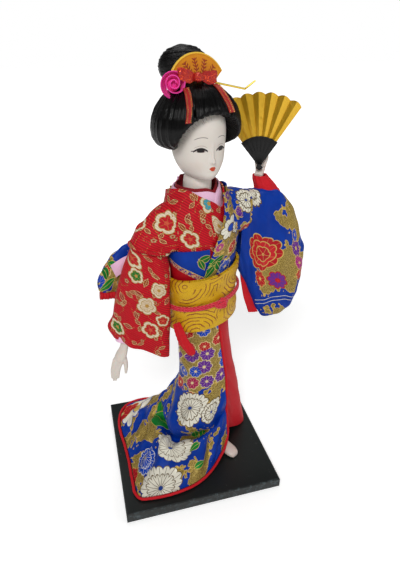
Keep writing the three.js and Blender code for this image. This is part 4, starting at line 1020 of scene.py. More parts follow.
def faceFinish():
    shader, uv = startMaterial("face")
    u, v, _ = split(uv)
    x, y = u * 10.0, v * 10.0
    depth = out(addNode(uv.tree, "UVMap", uv_map="depthMap"))
    forward, _, _ = split(depth)
    front = (forward * 10.0).under(-2.0, 1.0)
    skin = mix(noise(uv, 1.2, 2.0), rgb(226, 217, 207), rgb(233, 225, 216))
    blush = (x.size() - 9.5) / 5.0
    cheek = (1 - (blush * blush + ((y - 9.0) / 4.5) * ((y - 9.0) / 4.5))).math("MAXIMUM", 0.0)
    colour = mix(cheek * 0.12, skin, rgb(222, 178, 160))
    brow, eye, mouth, hairline = faceSetup.values()
    fromBrow = x.size() - brow["x"]
    along = fromBrow / brow["half"]
    drawn = (
        (y - brow["y"] + along * along * 0.95 + along * 0.35).size().under(brow["thick"], 0.22)
        * along.size().under(1.0, 0.2)
    )
    colour = mix(drawn * front * 0.8, colour, rgb(58, 40, 34))
    fromEye = x.size() - eye["x"]
    along = fromEye / eye["half"]
    upper = y - eye["y"] + along * along * 1.45
    lower = y - eye["y"] - along * along * 0.75 + 2.35
    open = upper.under(0.05, 0.15) * lower.over(0.0, 0.15) * along.size().under(0.98, 0.06) * front
    colour = mix(open, colour, rgb(196, 186, 180))
    down = (y - eye["y"] + 1.05) * 1.05
    reach = (fromEye * fromEye + down * down).math("SQRT")
    colour = mix(reach.under(2.15, 0.2) * open, colour, rgb(30, 10, 8))
    colour = mix(reach.under(1.1, 0.15) * open, colour, rgb(8, 5, 5))
    lid = (upper + 0.05).size().under(0.55, 0.15) * along.size().under(1.1, 0.08) * front
    colour = mix(lid, colour, rgb(18, 11, 10))
    lash = (
        (y - eye["y"] + 1.35 + (fromEye - 3.3) * 0.1).size().under(0.22, 0.12) * fromEye.over(3.0, 0.2)
        * fromEye.under(5.0, 0.3) * front
    )
    colour = mix(lash, colour, rgb(30, 20, 18))
    crease = (upper - 1.7).size().under(0.11, 0.12) * along.size().under(0.98, 0.2) * front
    colour = mix(crease * 0.7, colour, rgb(120, 92, 82))
    colour = mix(
        lower.size().under(0.1, 0.12) * along.size().under(0.85, 0.2) * front * 0.5, colour, rgb(96, 66, 58),
    )
    rise = y - hairline["y"]
    reach = (x * x + rise * rise).math("SQRT")
    turn = x.math("ARCTAN2", rise)
    strokes = noise(join(turn * 34.0, reach * 0.12), 1.0, 2.0).over(0.6, 0.05)
    length = noise(join(turn * 22.0, reach * 0.0), 1.0, 1.0) * 3.5
    hairs = strokes * (reach + length).over(hairline["reach"] + 1.6, 0.6) * rise.over(2.0, 2.0) * front
    colour = mix(hairs * 0.6, colour, rgb(34, 26, 24))
    across = x / mouth["half"]
    bow = (1 - across.size() * 3.0).math("MAXIMUM", 0.0) * 0.28
    upper = (
        (y - mouth["y"] - 1.35 + across * across * 1.3 + bow).under(0.0, 0.18)
        * (y - mouth["y"]).over(-0.08, 0.1)
    )
    lower = (
        (y - mouth["y"] + 1.55 - across * across * 1.45).over(0.0, 0.18) * (y - mouth["y"]).under(0.06, 0.1)
    )
    lips = upper.math("MAXIMUM", lower) * across.size().under(1.0, 0.06) * front
    colour = mix(lips, colour, rgb(206, 70, 34))
    parting = (
        (y - mouth["y"] + across * across * 0.1).size().under(0.14, 0.1) * across.size().under(0.86, 0.1)
        * front
    )
    colour = mix(parting * 0.8, colour, rgb(110, 26, 16))
    grain = noise(uv, 60.0, 2.0)
    finishSurface(
        shader, colour, grain * 0.1 + 0.42 - lips * 0.15, grain, 0.00002, 0.4, Subsurface_Weight=0.05,
        Subsurface_Scale=0.001, Specular_IOR_Level=0.3,
    )


def hairFinish():
    shader, uv = startMaterial("hair")
    comb = use("strands", Vector=uv)
    finishSurface(
        shader, mix(comb["Tone"], rgb(1, 1, 1), rgb(9, 8, 8)), comb["Tone"] * 0.12 + 0.25, comb["Height"],
        0.00035, 1.0, Specular_IOR_Level=0.15, Anisotropic=0.6,
    )


def combFinish():
    # Amber plate with a paler rim and small dark red sprigs
    shader, uv = startMaterial("combGold")
    x, y, _ = split(uv)
    reach = (x * x + y * y).math("SQRT")
    colour = mix(noise(uv, 1.6, 3.0), rgb(206, 112, 4), rgb(230, 160, 14))
    rim = reach.over(1.87, 0.03)
    colour = mix(rim, colour, rgb(236, 190, 60))
    turn = x.math("ARCTAN2", y)
    inside = reach.under(1.66, 0.04) * reach.over(0.7, 0.05) * turn.size().under(1.02, 0.04)
    sprig = ((turn + (reach * 5.0).math("SINE") * 0.03) * 2.3 + 0.5).math("FRACT") - 0.5
    away = sprig.size() * reach * 0.43
    stem = away.under(0.03, 0.02)
    leaves = (reach * 34.0 - away * 30.0).math("SINE").over(0.0, 0.25) * away.under(0.17, 0.04)
    mark = stem.math("MAXIMUM", leaves) * inside
    colour = mix(mark * 0.9, colour, rgb(150, 30, 12))
    scratch = noise(uv, 14.0, 4.0, 0.7)
    finishSurface(
        shader, colour, scratch * 0.25 + 0.24, scratch * 0.3 + mark, 0.0002, 0.8, Coat_Weight=0.05,
        Coat_Roughness=0.25, Specular_IOR_Level=0.25,
    )


def glitter(name, base, spark, edgeGold=False):
    shader, uv = startMaterial(name)
    cells = voronoi(uv, 34.0)
    red, green, blue = split(out(cells, "Color"))
    flake = red.over(0.78, 0.04)
    colour = mix(green, base, tuple(0.55 * c for c in base[:3]) + (1.0,))
    colour = mix(flake, colour, spark)
    if edgeGold:
        u, v, _ = split(uv)
        rail = (u.size() - 0.16).size().under(0.035, 0.015)
        dots = (v * 62.0).math("SINE").over(-0.1, 0.5)
        colour = mix(rail * dots, colour, rgb(226, 190, 96))
        flake = (rail * dots).math("MAXIMUM", flake * 0.3)
    finishSurface(
        shader, colour, (1 - flake) * 0.25 + 0.22, green + flake, 0.00015, 0.9, Metallic=flake * 0.8,
    )


def fanFoil():
    shader, uv = startMaterial("fanGold")
    u, v, _ = split(uv)
    streak = noise(join(u * 9.0, v * 0.8), 2.2, 4.0, 0.7)
    colour = mix(streak, rgb(196, 146, 20), rgb(232, 190, 56))
    finishSurface(shader, colour, streak * 0.2 + 0.26, streak, 0.00012, 0.6, Metallic=0.55)


def boardFinish():
    # Black-green lacquer, rubbed grey along its edges
    shader, coords = startMaterial("board", "Object")
    worn = use("edgeWear", Vector=coords)
    tone = mix(noise(coords, 30.0, 3.0), rgb(12, 17, 16), rgb(20, 27, 26))
    colour = mix(worn["Wear"] * 0.6, tone, rgb(80, 92, 96))
    colour = mix(worn["Dust"] * 0.25, colour, rgb(120, 124, 122))
    scuff = noise(coords, 120.0, 4.0, 0.7)
    finishSurface(
        shader, colour, scuff * 0.22 + worn["Wear"] * 0.25 + 0.27, scuff * 0.5 - worn["Wear"], 0.00008, 0.6,
        Coat_Weight=0.05, Coat_Roughness=0.3, Specular_IOR_Level=0.3,
    )


def metalFinish(name, low, high, rough):
    shader, coords = startMaterial(name, "Object")
    grain = noise(coords, 600.0, 3.0)
    finishSurface(shader, mix(grain, low, high), grain * 0.2 + rough, grain, 0.00003, 0.5, Metallic=0.9)


bodiceFlowers = [
    (1.61, 1.38, 0.62, "plum"), (-1.28, 2.95, 0.5, "sea"), (0.0, 0.35, 0.5, "plum"),
    (3.4, 2.9, 0.45, "cream"), (4.6, 0.8, 0.55, "plum"), (-3.4, 1.6, 0.5, "green"), (8.0, 2.0, 0.55, "plum"),
    (12.0, 1.5, 0.5, "cream"),
]
bodiceLeaves = [
    (0.55, 3.55, 0.4, 0.27), (-0.25, 3.3, 2.0, 0.27), (0.44, 1.12, 2.3, 0.28), (0.1, 1.75, 1.3, 0.26),
    (0.99, 0.56, 0.8, 0.26), (2.7, 0.6, 0.5, 0.26), (-0.9, 2.1, 1.0, 0.24), (1.2, 2.7, 0.2, 0.26),
]
shoulderFlowers = [
    (-4.85, 0.85, 0.58, "plum"), (-6.0, -0.6, 0.45, "plum"), (0.0, 1.0, 0.5, "plum"),
    (3.0, 0.5, 0.5, "green"),
]
shoulderLeaves = [
    (-2.8, 0.42, 0.4, 0.26), (-3.5, 0.6, 1.9, 0.26), (-5.2, 0.3, 1.0, 0.26), (-1.6, -0.4, 2.4, 0.26),
]
sleeveFlowers = [
    (-4.69, 2.89, 0.5, "plum"), (-4.81, 1.76, 0.4, "green"), (-3.24, 0.99, 0.42, "cream"),
    (-4.08, -0.33, 0.52, "cream"), (-4.0, -2.24, 0.5, "plum"), (-3.02, -1.32, 0.38, "plum"),
    (-6.54, -2.59, 0.42, "green"), (-1.6, 2.0, 0.5, "plum"), (-1.0, -0.8, 0.5, "cream"),
    (-8.2, 0.4, 0.5, "plum"), (2.0, 1.2, 0.5, "plum"), (5.2, -0.6, 0.5, "green"), (3.4, -2.2, 0.5, "cream"),
]
sleeveLeaves = [
    (-4.66, 0.54, 0.4, 0.27), (-4.14, 1.44, 2.0, 0.26), (-5.84, -0.12, 1.2, 0.27), (-5.3, 0.25, 0.5, 0.24),
    (-3.5, 2.0, 0.8, 0.24), (-2.6, 0.2, 2.2, 0.25), (-4.9, -1.2, 1.4, 0.25), (-5.6, -2.2, 0.3, 0.25),
    (-1.4, 0.6, 0.6, 0.26), (1.0, 0.0, 1.9, 0.26),
]
crepe("redCrepe", bodiceFlowers, bodiceLeaves, 9.3, -0.37)
crepe("shoulderCrepe", shoulderFlowers, shoulderLeaves, 4.1, -0.27)
crepe("sleeveCrepe", sleeveFlowers, sleeveLeaves, 7.7, 0.42)
brocade("skirtBrocade", -0.05, 0.5, (denseBlossoms, trainBlossoms), skirtMotifs, skirtLeaves, skirtPatches)
chestFinish()
brocade("bodiceBrocade", 0.05, 0.55, (smallBlossoms,), bodiceMotifs)
brocade("lapelBrocade", 0.08, 0.6, (), lapelMotifs, lapelLeaves)
brocade("sleeveBrocade", -0.16, 0.5, (), sleeveMotifs, (), sleevePatches, [
    (-0.46, -3.5, -2.1, 1.9), (-0.46, -3.85, -1.9, 1.7),
])
brocade("emptyBrocade", 0.06, 0.5, (smallBlossoms,), [small(0.1, -2.2, blueTone)], [
    (0.7, -1.6, 0.4, 0.5), (-0.2, -1.3, 1.9, 0.5), (0.9, -0.8, 1.0, 0.45), (-0.6, -2.0, 0.2, 0.4),
])
plainCloth("plainRed", rgb(190, 10, 24), rgb(216, 22, 38), threads=12.0, lean=0.5, cross=0.0)
plainCloth("darkRed", rgb(120, 10, 24), rgb(150, 18, 34))
plainCloth("pinkCloth", rgb(248, 194, 228), rgb(254, 214, 240), rough=0.6)
goldBrocade()
redCord()
smoothPlastic("skin", rgb(222, 211, 200), rgb(231, 221, 211), 0.4, 0.1)
faceFinish()
smoothPlastic("tabi", rgb(214, 196, 186), rgb(226, 210, 201), 0.42, 0.1)
hairFinish()
combFinish()
glitter("glitter", rgb(196, 12, 22), rgb(244, 92, 44))
glitter("ribbonTail", rgb(186, 12, 26), rgb(206, 50, 34), edgeGold=True)
plainCloth("roseRibbon", rgb(234, 26, 138), rgb(255, 84, 184), threads=22.0, rough=0.36)
smoothPlastic("fanBlack", rgb(2, 2, 2), rgb(8, 7, 7), 0.36, 0.0)
fanFoil()
boardFinish()
metalFinish("wire", rgb(120, 120, 122), rgb(160, 160, 164), 0.35)
plainCloth("stuffing", rgb(214, 208, 196), rgb(232, 226, 214))
metalFinish("brass", rgb(214, 176, 56), rgb(240, 214, 96), 0.22)
print("finishes made")


bodySections = (
    (40, 13, 12, 4, -0.5), (100, 15.5, 13.5, 2, -1), (132, 19.8, 15.4, 0.5, -1), (161, 21, 15.4, 0.5, -1),
    (176, 23.5, 16, 0.5, -1), (191, 26, 16.5, 0, 0), (199, 25.5, 17, -0.5, 1), (205, 23, 17.5, -1, 2.5),
    (210, 20, 18, -1, 3.5), (214, 18.5, 18.5, -1.5, 4), (222, 17.5, 17.5, -1.5, 4),
)
underSkirtSections = (
    (0.8, 33, 20.5, 11, 3), (26, 28.5, 19.5, 10, 2.5), (53, 23.5, 18, 9.5, 1), (76, 20, 16.6, 6.6, -0.5),
    (96, 19.2, 15.9, 4, -1), (117, 19.9, 15.9, 1.6, -1), (131, 20.6, 16.2, 0.5, -1),
)
kimonoSections = (
    (68, 24.2, 20.6, 7, -1), (79, 22.6, 19.4, 6.2, -1), (90, 21.8, 18.8, 4.8, -1), (103, 21.6, 18.2, 3.2, -1),
    (117, 22.1, 17.8, 1.6, -1), (131, 22.1, 17.7, 0.5, -1),
)
layers = {"cloth": 0.9, "gap": 0.35}
layers["first"] = layers["gap"] + layers["cloth"] / 2
layers["step"] = layers["gap"] + layers["cloth"]
ringCut = {"anchor": (0.75, 0.5), "ring": True, "thickness": layers["cloth"]}


def sectionAt(sections, height):
    heights = [row[0] for row in sections]
    return [
        sum(
            np.interp(height + step, heights, [row[column] for row in sections]) for step in (-4, -2, 0, 2, 4)
        ) / 5
        for column in range(1, 5)
    ]


def onSection(sections, angle, height, offset=0.0):
    wide, deep, x, y = sectionAt(sections, height)
    turn = np.radians(angle)
    return x + (wide + offset) * np.cos(turn), y + (deep + offset) * np.sin(turn), height


def squared(value, power):
    return np.sign(value) * np.abs(value) ** power


def angleBell(angle, middle, width):
    return np.exp(-((np.abs((angle - middle + 540) % 360 - 180) / width) ** 2))


skirtSetup = {
    "top": 131, "frontAngle": -84, "wrapAngle": 247, "room": 2.6, "crease": 7.5, "creaseAt": 0.3,
    "creaseWidth": 0.24, "valley": 0.47, "foldHeight": 2.6, "folds": 9, "train": 0.48, "trainWidth": 0.34,
}
hemLine = curveThrough([
    (7.5, -30, 12), (-4, -36, 5), (-16, -42, 1.8), (-32, -47, 1.8), (-50, -46, 1.8), (-65, -41.8, 1.8),
    (-74.3, -36.6, 1.8), (-72.4, -22, 1.8), (-67.5, -3, 1.8), (-63.5, 17, 1.8), (-60, 37, 1.8),
    (-53, 52, 1.8), (-44, 59, 1.8), (-31, 59, 1.8), (-16, 52, 1.8), (1, 44, 1.8), (17, 38, 1.8),
    (30, 32, 1.8), (39, 26, 1.8),
])


def kimonoPoint(u, level):
    angle = skirtSetup["frontAngle"] - skirtSetup["wrapAngle"] * u
    flare = kimonoSections[0][0]
    high = np.stack(
        np.broadcast_arrays(
            *onSection(kimonoSections, angle, flare - np.minimum(level, 0) * (skirtSetup["top"] - flare))
        ),
        axis=-1,
    )
    start = np.stack(np.broadcast_arrays(*onSection(kimonoSections, angle, flare + 0 * level)), axis=-1)
    end = hemLine(u)
    train = bell(u, skirtSetup["train"], skirtSetup["trainWidth"])
    low = clamp(level)
    share = low ** (1 + 0.5 * train)
    point = start + (end - start) * share[..., None]
    point[..., 2] = end[..., 2] + (flare - end[..., 2]) * (1 - low) ** (1.05 + 0.75 * train)
    # A deep fold runs round the train below the knee, under a soft ridge
    tuck = skirtSetup["crease"] * clamp(1.25 * bell(u, skirtSetup["creaseAt"], skirtSetup["creaseWidth"]))
    valley = skirtSetup["valley"] + 0.1 * (u - skirtSetup["creaseAt"])
    point[..., 2] += tuck * (
        0.55 * bell(low, valley - 0.17, 0.09) - bell(low, valley, 0.06) + 0.75
        * bell(low, valley + 0.13, 0.08)
    )
    away = end[..., :2] - start[..., :2]
    away = away / np.maximum(np.hypot(away[..., 0], away[..., 1]), 1)[..., None]
    push = 0.7 * bell(low, valley - 0.12, 0.08) - 0.9 * bell(low, valley + 0.01, 0.06)
    point[..., :2] += away * (tuck * push)[..., None]
    folds = bell(u, 0.6, 0.22) * np.sin(2 * math.pi * skirtSetup["folds"] * u)
    point[..., 2] += skirtSetup["foldHeight"] * folds * 4 * low * (1 - low)
    wide, deep, x, y = sectionAt(underSkirtSections, point[..., 2])
    dx, dy = point[..., 0] - x, point[..., 1] - y
    reach = np.minimum(np.hypot(dx / (wide + skirtSetup["room"]), dy / (deep + skirtSetup["room"])), 1)
    point[..., 0], point[..., 1] = x + dx / reach, y + dy / reach
    return np.where((level <= 0)[..., None], high, point)


def skirtShape(s, t):
    # Rows start at the waist; the second half of them runs down and out over the board
    return kimonoPoint(s, -1 + 2 * t)


def skirtWrinkles(s, t, u, v):
    calm = clamp(np.minimum(t, 1 - t) * 12) * clamp(np.minimum(s, 1 - s) * 14)
    low = clamp((t - 0.45) * 3)
    hip = bell(t, 0.3, 0.12) * bell(s, 0.34, 0.12)
    drape = np.sin(u * 0.36 + 0.8 * np.sin(v * 0.045)) * 0.55 * clamp((t - 0.3) * 2)
    return calm * (
        0.45 * ripple(u, v, 26, 4) + low * 0.9 * ripple(u, v * 0.6, 17, 8) + hip * 1.3 * np.sin((u + v) * 0.5)
        + 2.0 * drape
    )


clothe("skirtBrocade", "kimono_skirt", gridPiece(
    "kimonoSkirt", 230, 150, skirtShape, anchor=(0.22, 0.6), smooth=3, wrinkles=skirtWrinkles, thickness=1.0,
))

underSkirtSetup = {"lift": 10, "waves": 7, "wave": 1.1}


def underSkirtShape(s, t):
    angle = -90 - 360 * s
    fromFeet = np.abs((angle + 112 + 900) % 360 - 180)
    low = underSkirtSections[0][0] + underSkirtSetup["lift"] * np.exp(-((fromFeet / 46) ** 4))
    height = low + (skirtSetup["top"] - low) * (1 - t)
    fold = underSkirtSetup["wave"] * np.sin(underSkirtSetup["waves"] * np.radians(angle)) * t ** 2
    return onSection(underSkirtSections, angle, height, fold)


clothe("plainRed", "under_skirt", gridPiece(
    "underSkirt", 200, 90, underSkirtShape, anchor=(0.05, 0.5), ring=True, thickness=0.9,
    wrinkles=lambda s, t, u, v: 0.25 * ripple(u, v * 0.35, 14, 12) * clamp(t * 3),
))

pipingSetup = {"radius": 1.1, "away": 1.7, "puckers": 150}


def pipingLine():
    away = pipingSetup["away"]
    points = []
    for level in (-0.72, -0.4, 0, 0.25, 0.5, 0.75, 0.9):
        edge, inner = (kimonoPoint(np.array([u]), np.array([float(level)]))[0] for u in (0.0, 0.03))
        outward = (edge - inner) * (1, 1, 0)
        points.append(edge + outward / np.linalg.norm(outward) * away)
    for k in range(1, 35):
        u = k / 34
        edge = kimonoPoint(np.array([u]), np.array([1.0]))[0]
        along = hemLine(min(1, u + 0.004)) - hemLine(u - 0.004)
        outward = np.array((-along[1], along[0], 0)) / np.hypot(along[0], along[1])
        point = edge + outward * away
        point[2] = max(pipingSetup["radius"] + 0.15, edge[2])
        points.append(point)
    return points


pad("plainRed", "hem_piping", tubePiece(
    "hemPiping", pipingLine(), pipingSetup["radius"], around=14, along=620,
    swell=lambda s, t: (
        1 + 0.035 * np.sin(t * 2 * math.pi * pipingSetup["puckers"]) + 0.03 * np.sin(t * 300 + 6 * s)
    ),
))
print("skirts made")


bodiceSetup = {"bottom": 134, "rise": 7.2, "dip": 5}


def collarTop(angle):
    return (
        207.5 + 8.5 * angleBell(angle, -180, 62) + 4 * angleBell(angle, 90, 50) + 10.5
        * angleBell(angle, 0, 55)
    )


def redBodiceShape(s, t):
    angle = -90 - 360 * s
    high = (
        collarTop(angle) + bodiceSetup["rise"] * angleBell(angle, -130, 45) - bodiceSetup["dip"]
        * angleBell(angle, -64, 14)
    )
    return onSection(
        bodySections, angle, bodiceSetup["bottom"] + (high - bodiceSetup["bottom"]) * (1 - t),
        layers["first"],
    )


clothe("redCrepe", "red_bodice", gridPiece(
    "redBodice", 170, 100, redBodiceShape, anchor=(0.1, 0.4), ring=True, thickness=layers["cloth"],
    wrinkles=lambda s, t, u, v: (
        0.22 * ripple(u, v, 13, 21) + 0.35 * bell(t, 0.35, 0.2) * np.sin((u * 0.8 + v) * 0.42)
    ),
))


def bagShape(stations, power, fold=None):
    # Rings round a sleeve, each from its outer edge, inner edge, half thickness and the way it faces
    count = len(stations)
    outer = curveThrough([row[0] for row in stations])
    inner = curveThrough([row[1] for row in stations])
    half = [row[2] for row in stations]
    facings = [row[3] if len(row) > 3 else None for row in stations]

    def shape(s, t):
        a, b = outer(t), inner(t)
        middle, spread = (a + b) / 2, (a - b) / 2
        flat = np.stack([-spread[..., 1], spread[..., 0], 0 * spread[..., 0]], axis=-1)
        through = unit(flat, 1e-6)
        place = t * (count - 1)
        for k, facing in enumerate(facings):
            if facing is not None:
                weight = clamp(1 - np.abs(place - k))[..., None]
                through = through * (1 - weight) + np.asarray(facing, float) * weight
        through = unit(through)
        angle = 2 * math.pi * s
        c, n = np.cos(angle), np.sin(angle)
        along, deep = squared(c, power), squared(n, power)
        thick = np.interp(place, range(count), half) * deep
        if fold is not None:
            thick = thick + fold(along, t) * np.sign(deep)
        return middle + spread * along[..., None] + through * thick[..., None]
    return shape


rightShoulderStations = [
    ((-19, 4.5, 210.5), (-10, 1, 186), 10.5), ((-28, 5, 207.5), (-13, -1.5, 182.5), 11.5),
    ((-37, 6, 200.5), (-17, -3.5, 180.5), 10.8), ((-44.5, 7, 193), (-22, -3.5, 179), 9.8),
    ((-49.6, 7, 185), (-26, -2.6, 177.6), 8.8),
]
clothe("shoulderCrepe", "red_bodice", gridPiece(
    "rightShoulder", 120, 60, bagShape(rightShoulderStations, 0.9), **ringCut,
    wrinkles=lambda s, t, u, v: 0.45 * ripple(u, v, 11, 33) * np.clip(t * 4, 0.2, 1),
))

rightSleeveStations = [
    ((-48, 6.8, 184.5), (-27.8, -1.6, 178.2), 6.8), ((-53.5, 7.5, 172), (-26.4, -4.4, 162), 8),
    ((-57, 9.5, 161), (-27.6, -5.6, 152), 8.2), ((-60, 11, 151), (-28.8, -6.4, 142), 7.4),
    ((-64, 13.3, 131), (-29.6, -7, 122), 7.2), ((-68, 13.8, 123.5), (-31, -7.2, 106), 6.5),
    ((-65.5, 11, 115.5), (-31.6, -7.6, 97.2), 5.5),
]


def sleeveFold(along, t):
    inside = np.maximum(0, 1 - along ** 2)
    return 1.6 * t * inside * np.sin(2 * math.pi * (along + 1)) + 0.5 * inside * np.sin(along * 9 + t * 4)


clothe("sleeveCrepe", "sleeve_right", gridPiece(
    "rightSleeve", 150, 110, bagShape(rightSleeveStations, 0.85, sleeveFold), **ringCut,
    wrinkles=lambda s, t, u, v: 0.3 * ripple(u, v * 0.5, 12, 41),
))

seamPoints = bagShape(rightShoulderStations, 0.9)(np.linspace(0, 1, 41), np.full(41, 1.0))
pad("redCrepe", None, tubePiece(
    "shoulderSeam", seamPoints, 1.35, around=10, along=240, closed=True,
    swell=lambda s, t: 1 + 0.12 * np.sin(t * 140) * np.sin(t * 37),
))


def rightCuffShape(s, t):
    wide, deep, tilt = 6.7, 4.7, 1.5
    centre = curveThrough([(-55.5, 7.9, 123), (-57, 8.1, 117), (-58.2, 8.3, 110.6)])(t)
    angle = 2 * math.pi * s
    c, n = np.cos(angle), np.sin(angle)
    return centre[..., 0] + wide * c + n, centre[..., 1] - tilt * c + deep * n, centre[..., 2] - tilt * c


clothe("pinkCloth", "cuff_right", gridPiece(
    "rightCuff", 70, 24, rightCuffShape, ring=True, thickness=0.8, wrinkles=(0.18, 7, 51),
))


def chestFoldShape(s, t):
    angle = -98 - 130 * s
    high = 180 - 1.5 * angleBell(angle, -180, 40)
    return onSection(
        bodySections, angle, bodiceSetup["bottom"] + (high - bodiceSetup["bottom"]) * (1 - t),
        layers["first"] + layers["step"],
    )


clothe("chestBrocade", "chest_fold", gridPiece(
    "chestFold", 90, 50, chestFoldShape, anchor=(0.3, 0), thickness=layers["cloth"], wrinkles=(0.15, 12, 55),
))

leftOffset = layers["first"] + 2 * layers["step"]


def lapelAngle(height):
    return (
        -127 + 67 * clamp((height - bodiceSetup["bottom"]) / (collarTop(-60) - bodiceSetup["bottom"])) ** 1.15
    )


def leftBodiceShape(s, t):
    high = collarTop(-50 + 180 * s)
    height = bodiceSetup["bottom"] + (high - bodiceSetup["bottom"]) * (1 - t)
    start = lapelAngle(height)
    return onSection(bodySections, start + (112 - start) * s, height, leftOffset)


clothe("bodiceBrocade", "bodice_left", gridPiece(
    "leftBodice", 130, 100, leftBodiceShape, anchor=(0.1, 0.3), thickness=layers["cloth"],
    wrinkles=lambda s, t, u, v: 0.3 * ripple(u, v, 12, 61) * clamp(s * 8),
))

lapelSetup = {"width": 9.5, "lift": 0.75, "foot": 26, "bodyRadius": 21}


def lapelShape(s, t):
    foot = bodiceSetup["bottom"] + lapelSetup["foot"]
    height = foot + (collarTop(-60) + 5 - foot) * (1 - t)
    reach = lapelSetup["width"] / lapelSetup["bodyRadius"] * 57.3
    angle = lapelAngle(height) - 2 + reach * s * (0.75 + 0.25 * (1 - t))
    crown = lapelSetup["lift"] * (1 - (2 * s - 1) ** 6)
    return onSection(bodySections, angle, height, leftOffset + crown)


clothe("lapelBrocade", None, gridPiece(
    "lapel", 34, 110, lapelShape, anchor=(0.5, 0.4), thickness=0.7, wrinkles=(0.12, 9, 66),
))

sleeveTurn = math.radians(-19)
sleeveRoot = (33, -4)
sleeveAcross = np.array((-math.sin(sleeveTurn), math.cos(sleeveTurn), 0.0))


def onLeftSleeve(along, height):
    return sleeveRoot[0] + along * math.cos(sleeveTurn), sleeveRoot[1] + along * math.sin(sleeveTurn), height


leftShoulderStations = [
    ((20, 1.5, 214), (20, -0.5, 182), 14.8, sleeveAcross),
    ((27, -1.5, 213), (27, -2.5, 182.5), 13.6, sleeveAcross),
    (onLeftSleeve(0.5, 211.8), onLeftSleeve(0.5, 184), 10.6, sleeveAcross),
    (onLeftSleeve(4, 211.2), onLeftSleeve(4, 186), 9.4, sleeveAcross),
]
clothe("bodiceBrocade", "bodice_left", gridPiece(
    "leftShoulder", 120, 40, bagShape(leftShoulderStations, 0.9), **ringCut, wrinkles=(0.4, 10, 71),
))

leftSleeveSlices = np.array([
    (-2.4, 209, 152, 8.2), (2.5, 211, 143.5, 8.6), (6.5, 211.3, 134, 8.4), (10.5, 211.5, 124, 8.2),
    (14.5, 211.5, 114.5, 8.3), (18.5, 211.3, 108, 8.4), (24, 210, 107.5, 8.5), (30, 205.5, 107.5, 8.3),
    (35.5, 198, 109.5, 8), (40, 188, 113, 7.2), (44, 176, 120, 6), (47.5, 166, 135, 4), (48.3, 158, 142, 0.6),
])


def leftSleeveShape(s, t):
    slices = curveThrough(leftSleeveSlices)(t)
    along, top, bottom, half = (slices[..., k] for k in range(4))
    angle = 2 * math.pi * s
    c, n = np.cos(angle), np.sin(angle)
    up, deep = squared(c, 0.8), squared(n, 0.8)
    height = (top + bottom) / 2 + (top - bottom) / 2 * up
    drop = (top - height) / (top - bottom)
    j = t * (len(leftSleeveSlices) - 1)
    fold = 0.9 * np.sin(j * 1.9 + 2.2 * drop) * np.sin(math.pi * drop)
    full = squared(n, np.where(c > 0, 0.45, 0.8))
    off = half * full * (1 - 0.45 * drop) + np.sign(deep) * fold * np.abs(deep)
    return np.stack(onLeftSleeve(along, height), axis=-1) + sleeveAcross * off[..., None]


clothe("sleeveBrocade", "sleeve_left", gridPiece(
    "leftSleeve", 170, 110, leftSleeveShape, **ringCut, wrinkles=(0.35, 15, 81),
))
print("bodices and sleeves made")

emptyStations = [
    ((-19, 6.5, 177), (-19, 6.5, 161), 3, (0.8, 0.6, 0)),
    ((-25, 18.5, 179), (-25, 18.5, 153), 3, (0.7, 0.7, 0)),
    ((-34, 22.5, 179.5), (-33, 21.5, 146), 3.2, (0.3, 0.95, 0)),
    ((-46, 23, 178), (-44, 22, 142.5), 3.8, (0.05, 1, 0)),
    ((-56, 24, 171.5), (-55.5, 23, 143), 3.8, (0, 1, 0)),
    ((-64, 25, 161.5), (-63.5, 24.5, 144.5), 3.2, (0, 1, 0)),
    ((-68.5, 25, 155), (-68, 25, 147), 1.0, (0, 1, 0)),
]
clothe("emptyBrocade", "sleeve_empty", gridPiece(
    "emptySleeve", 130, 100, bagShape(emptyStations, 0.85), anchor=(0.75, 0.6), ring=True,
    thickness=layers["cloth"], wrinkles=lambda s, t, u, v: 0.55 * ripple(u, v, 15, 91) * clamp(t * 5),
))

pad("plainRed", "sleeve_empty_hem", tubePiece(
    "emptyHem",
    [(-45, 22.2, 140.6), (-51, 22.6, 141), (-57, 23.2, 141.4), (-63, 24, 141.9), (-68.6, 25, 142.6)], 3.1,
    around=14, along=90, flat=0.9,
    swell=lambda s, t: 1 + 0.05 * np.sin(t * 70) + 0.04 * np.sin(t * 31 + 5 * s),
))


def rowsShape(rows):
    # A surface through rows of points, the first row at the top
    lines = [curveThrough(row) for row in rows]

    def shape(s, t):
        across = np.stack([line(s[0]) for line in lines])
        return curveThrough(across.reshape(len(rows), -1))(t[:, 0]).reshape(*s.shape, 3)
    return shape


clothe("pinkCloth", "sleeve_empty_lining", gridPiece(
    "emptyLining", 50, 30,
    rowsShape([
        [(-44, 18, 172.5), (-52, 18.5, 170.5), (-60, 20, 166)],
        [(-44, 17.2, 168), (-51.5, 17.6, 165.8), (-58.6, 19, 161.5)],
        [(-44, 17.6, 163), (-51, 18, 161), (-57, 19.3, 157)],
    ]),
    thickness=layers["cloth"], wrinkles=(0.25, 9, 95),
))

liningEdges = [
    (151, -0.6, 0.4), (143, 0.2, 2.9), (135, 1.6, 5.7), (125, 3.6, 9.6), (117, 6.2, 13), (111.5, 8, 15.6),
]
clothe("plainRed", "sleeve_lining_left", gridPiece(
    "leftLining", 20, 80,
    rowsShape([
        [onLeftSleeve(near, height), onLeftSleeve((near + far) / 2, height), onLeftSleeve(far, height)]
        for height, near, far in liningEdges
    ]),
    thickness=layers["cloth"], wrinkles=(0.2, 9, 97)
))


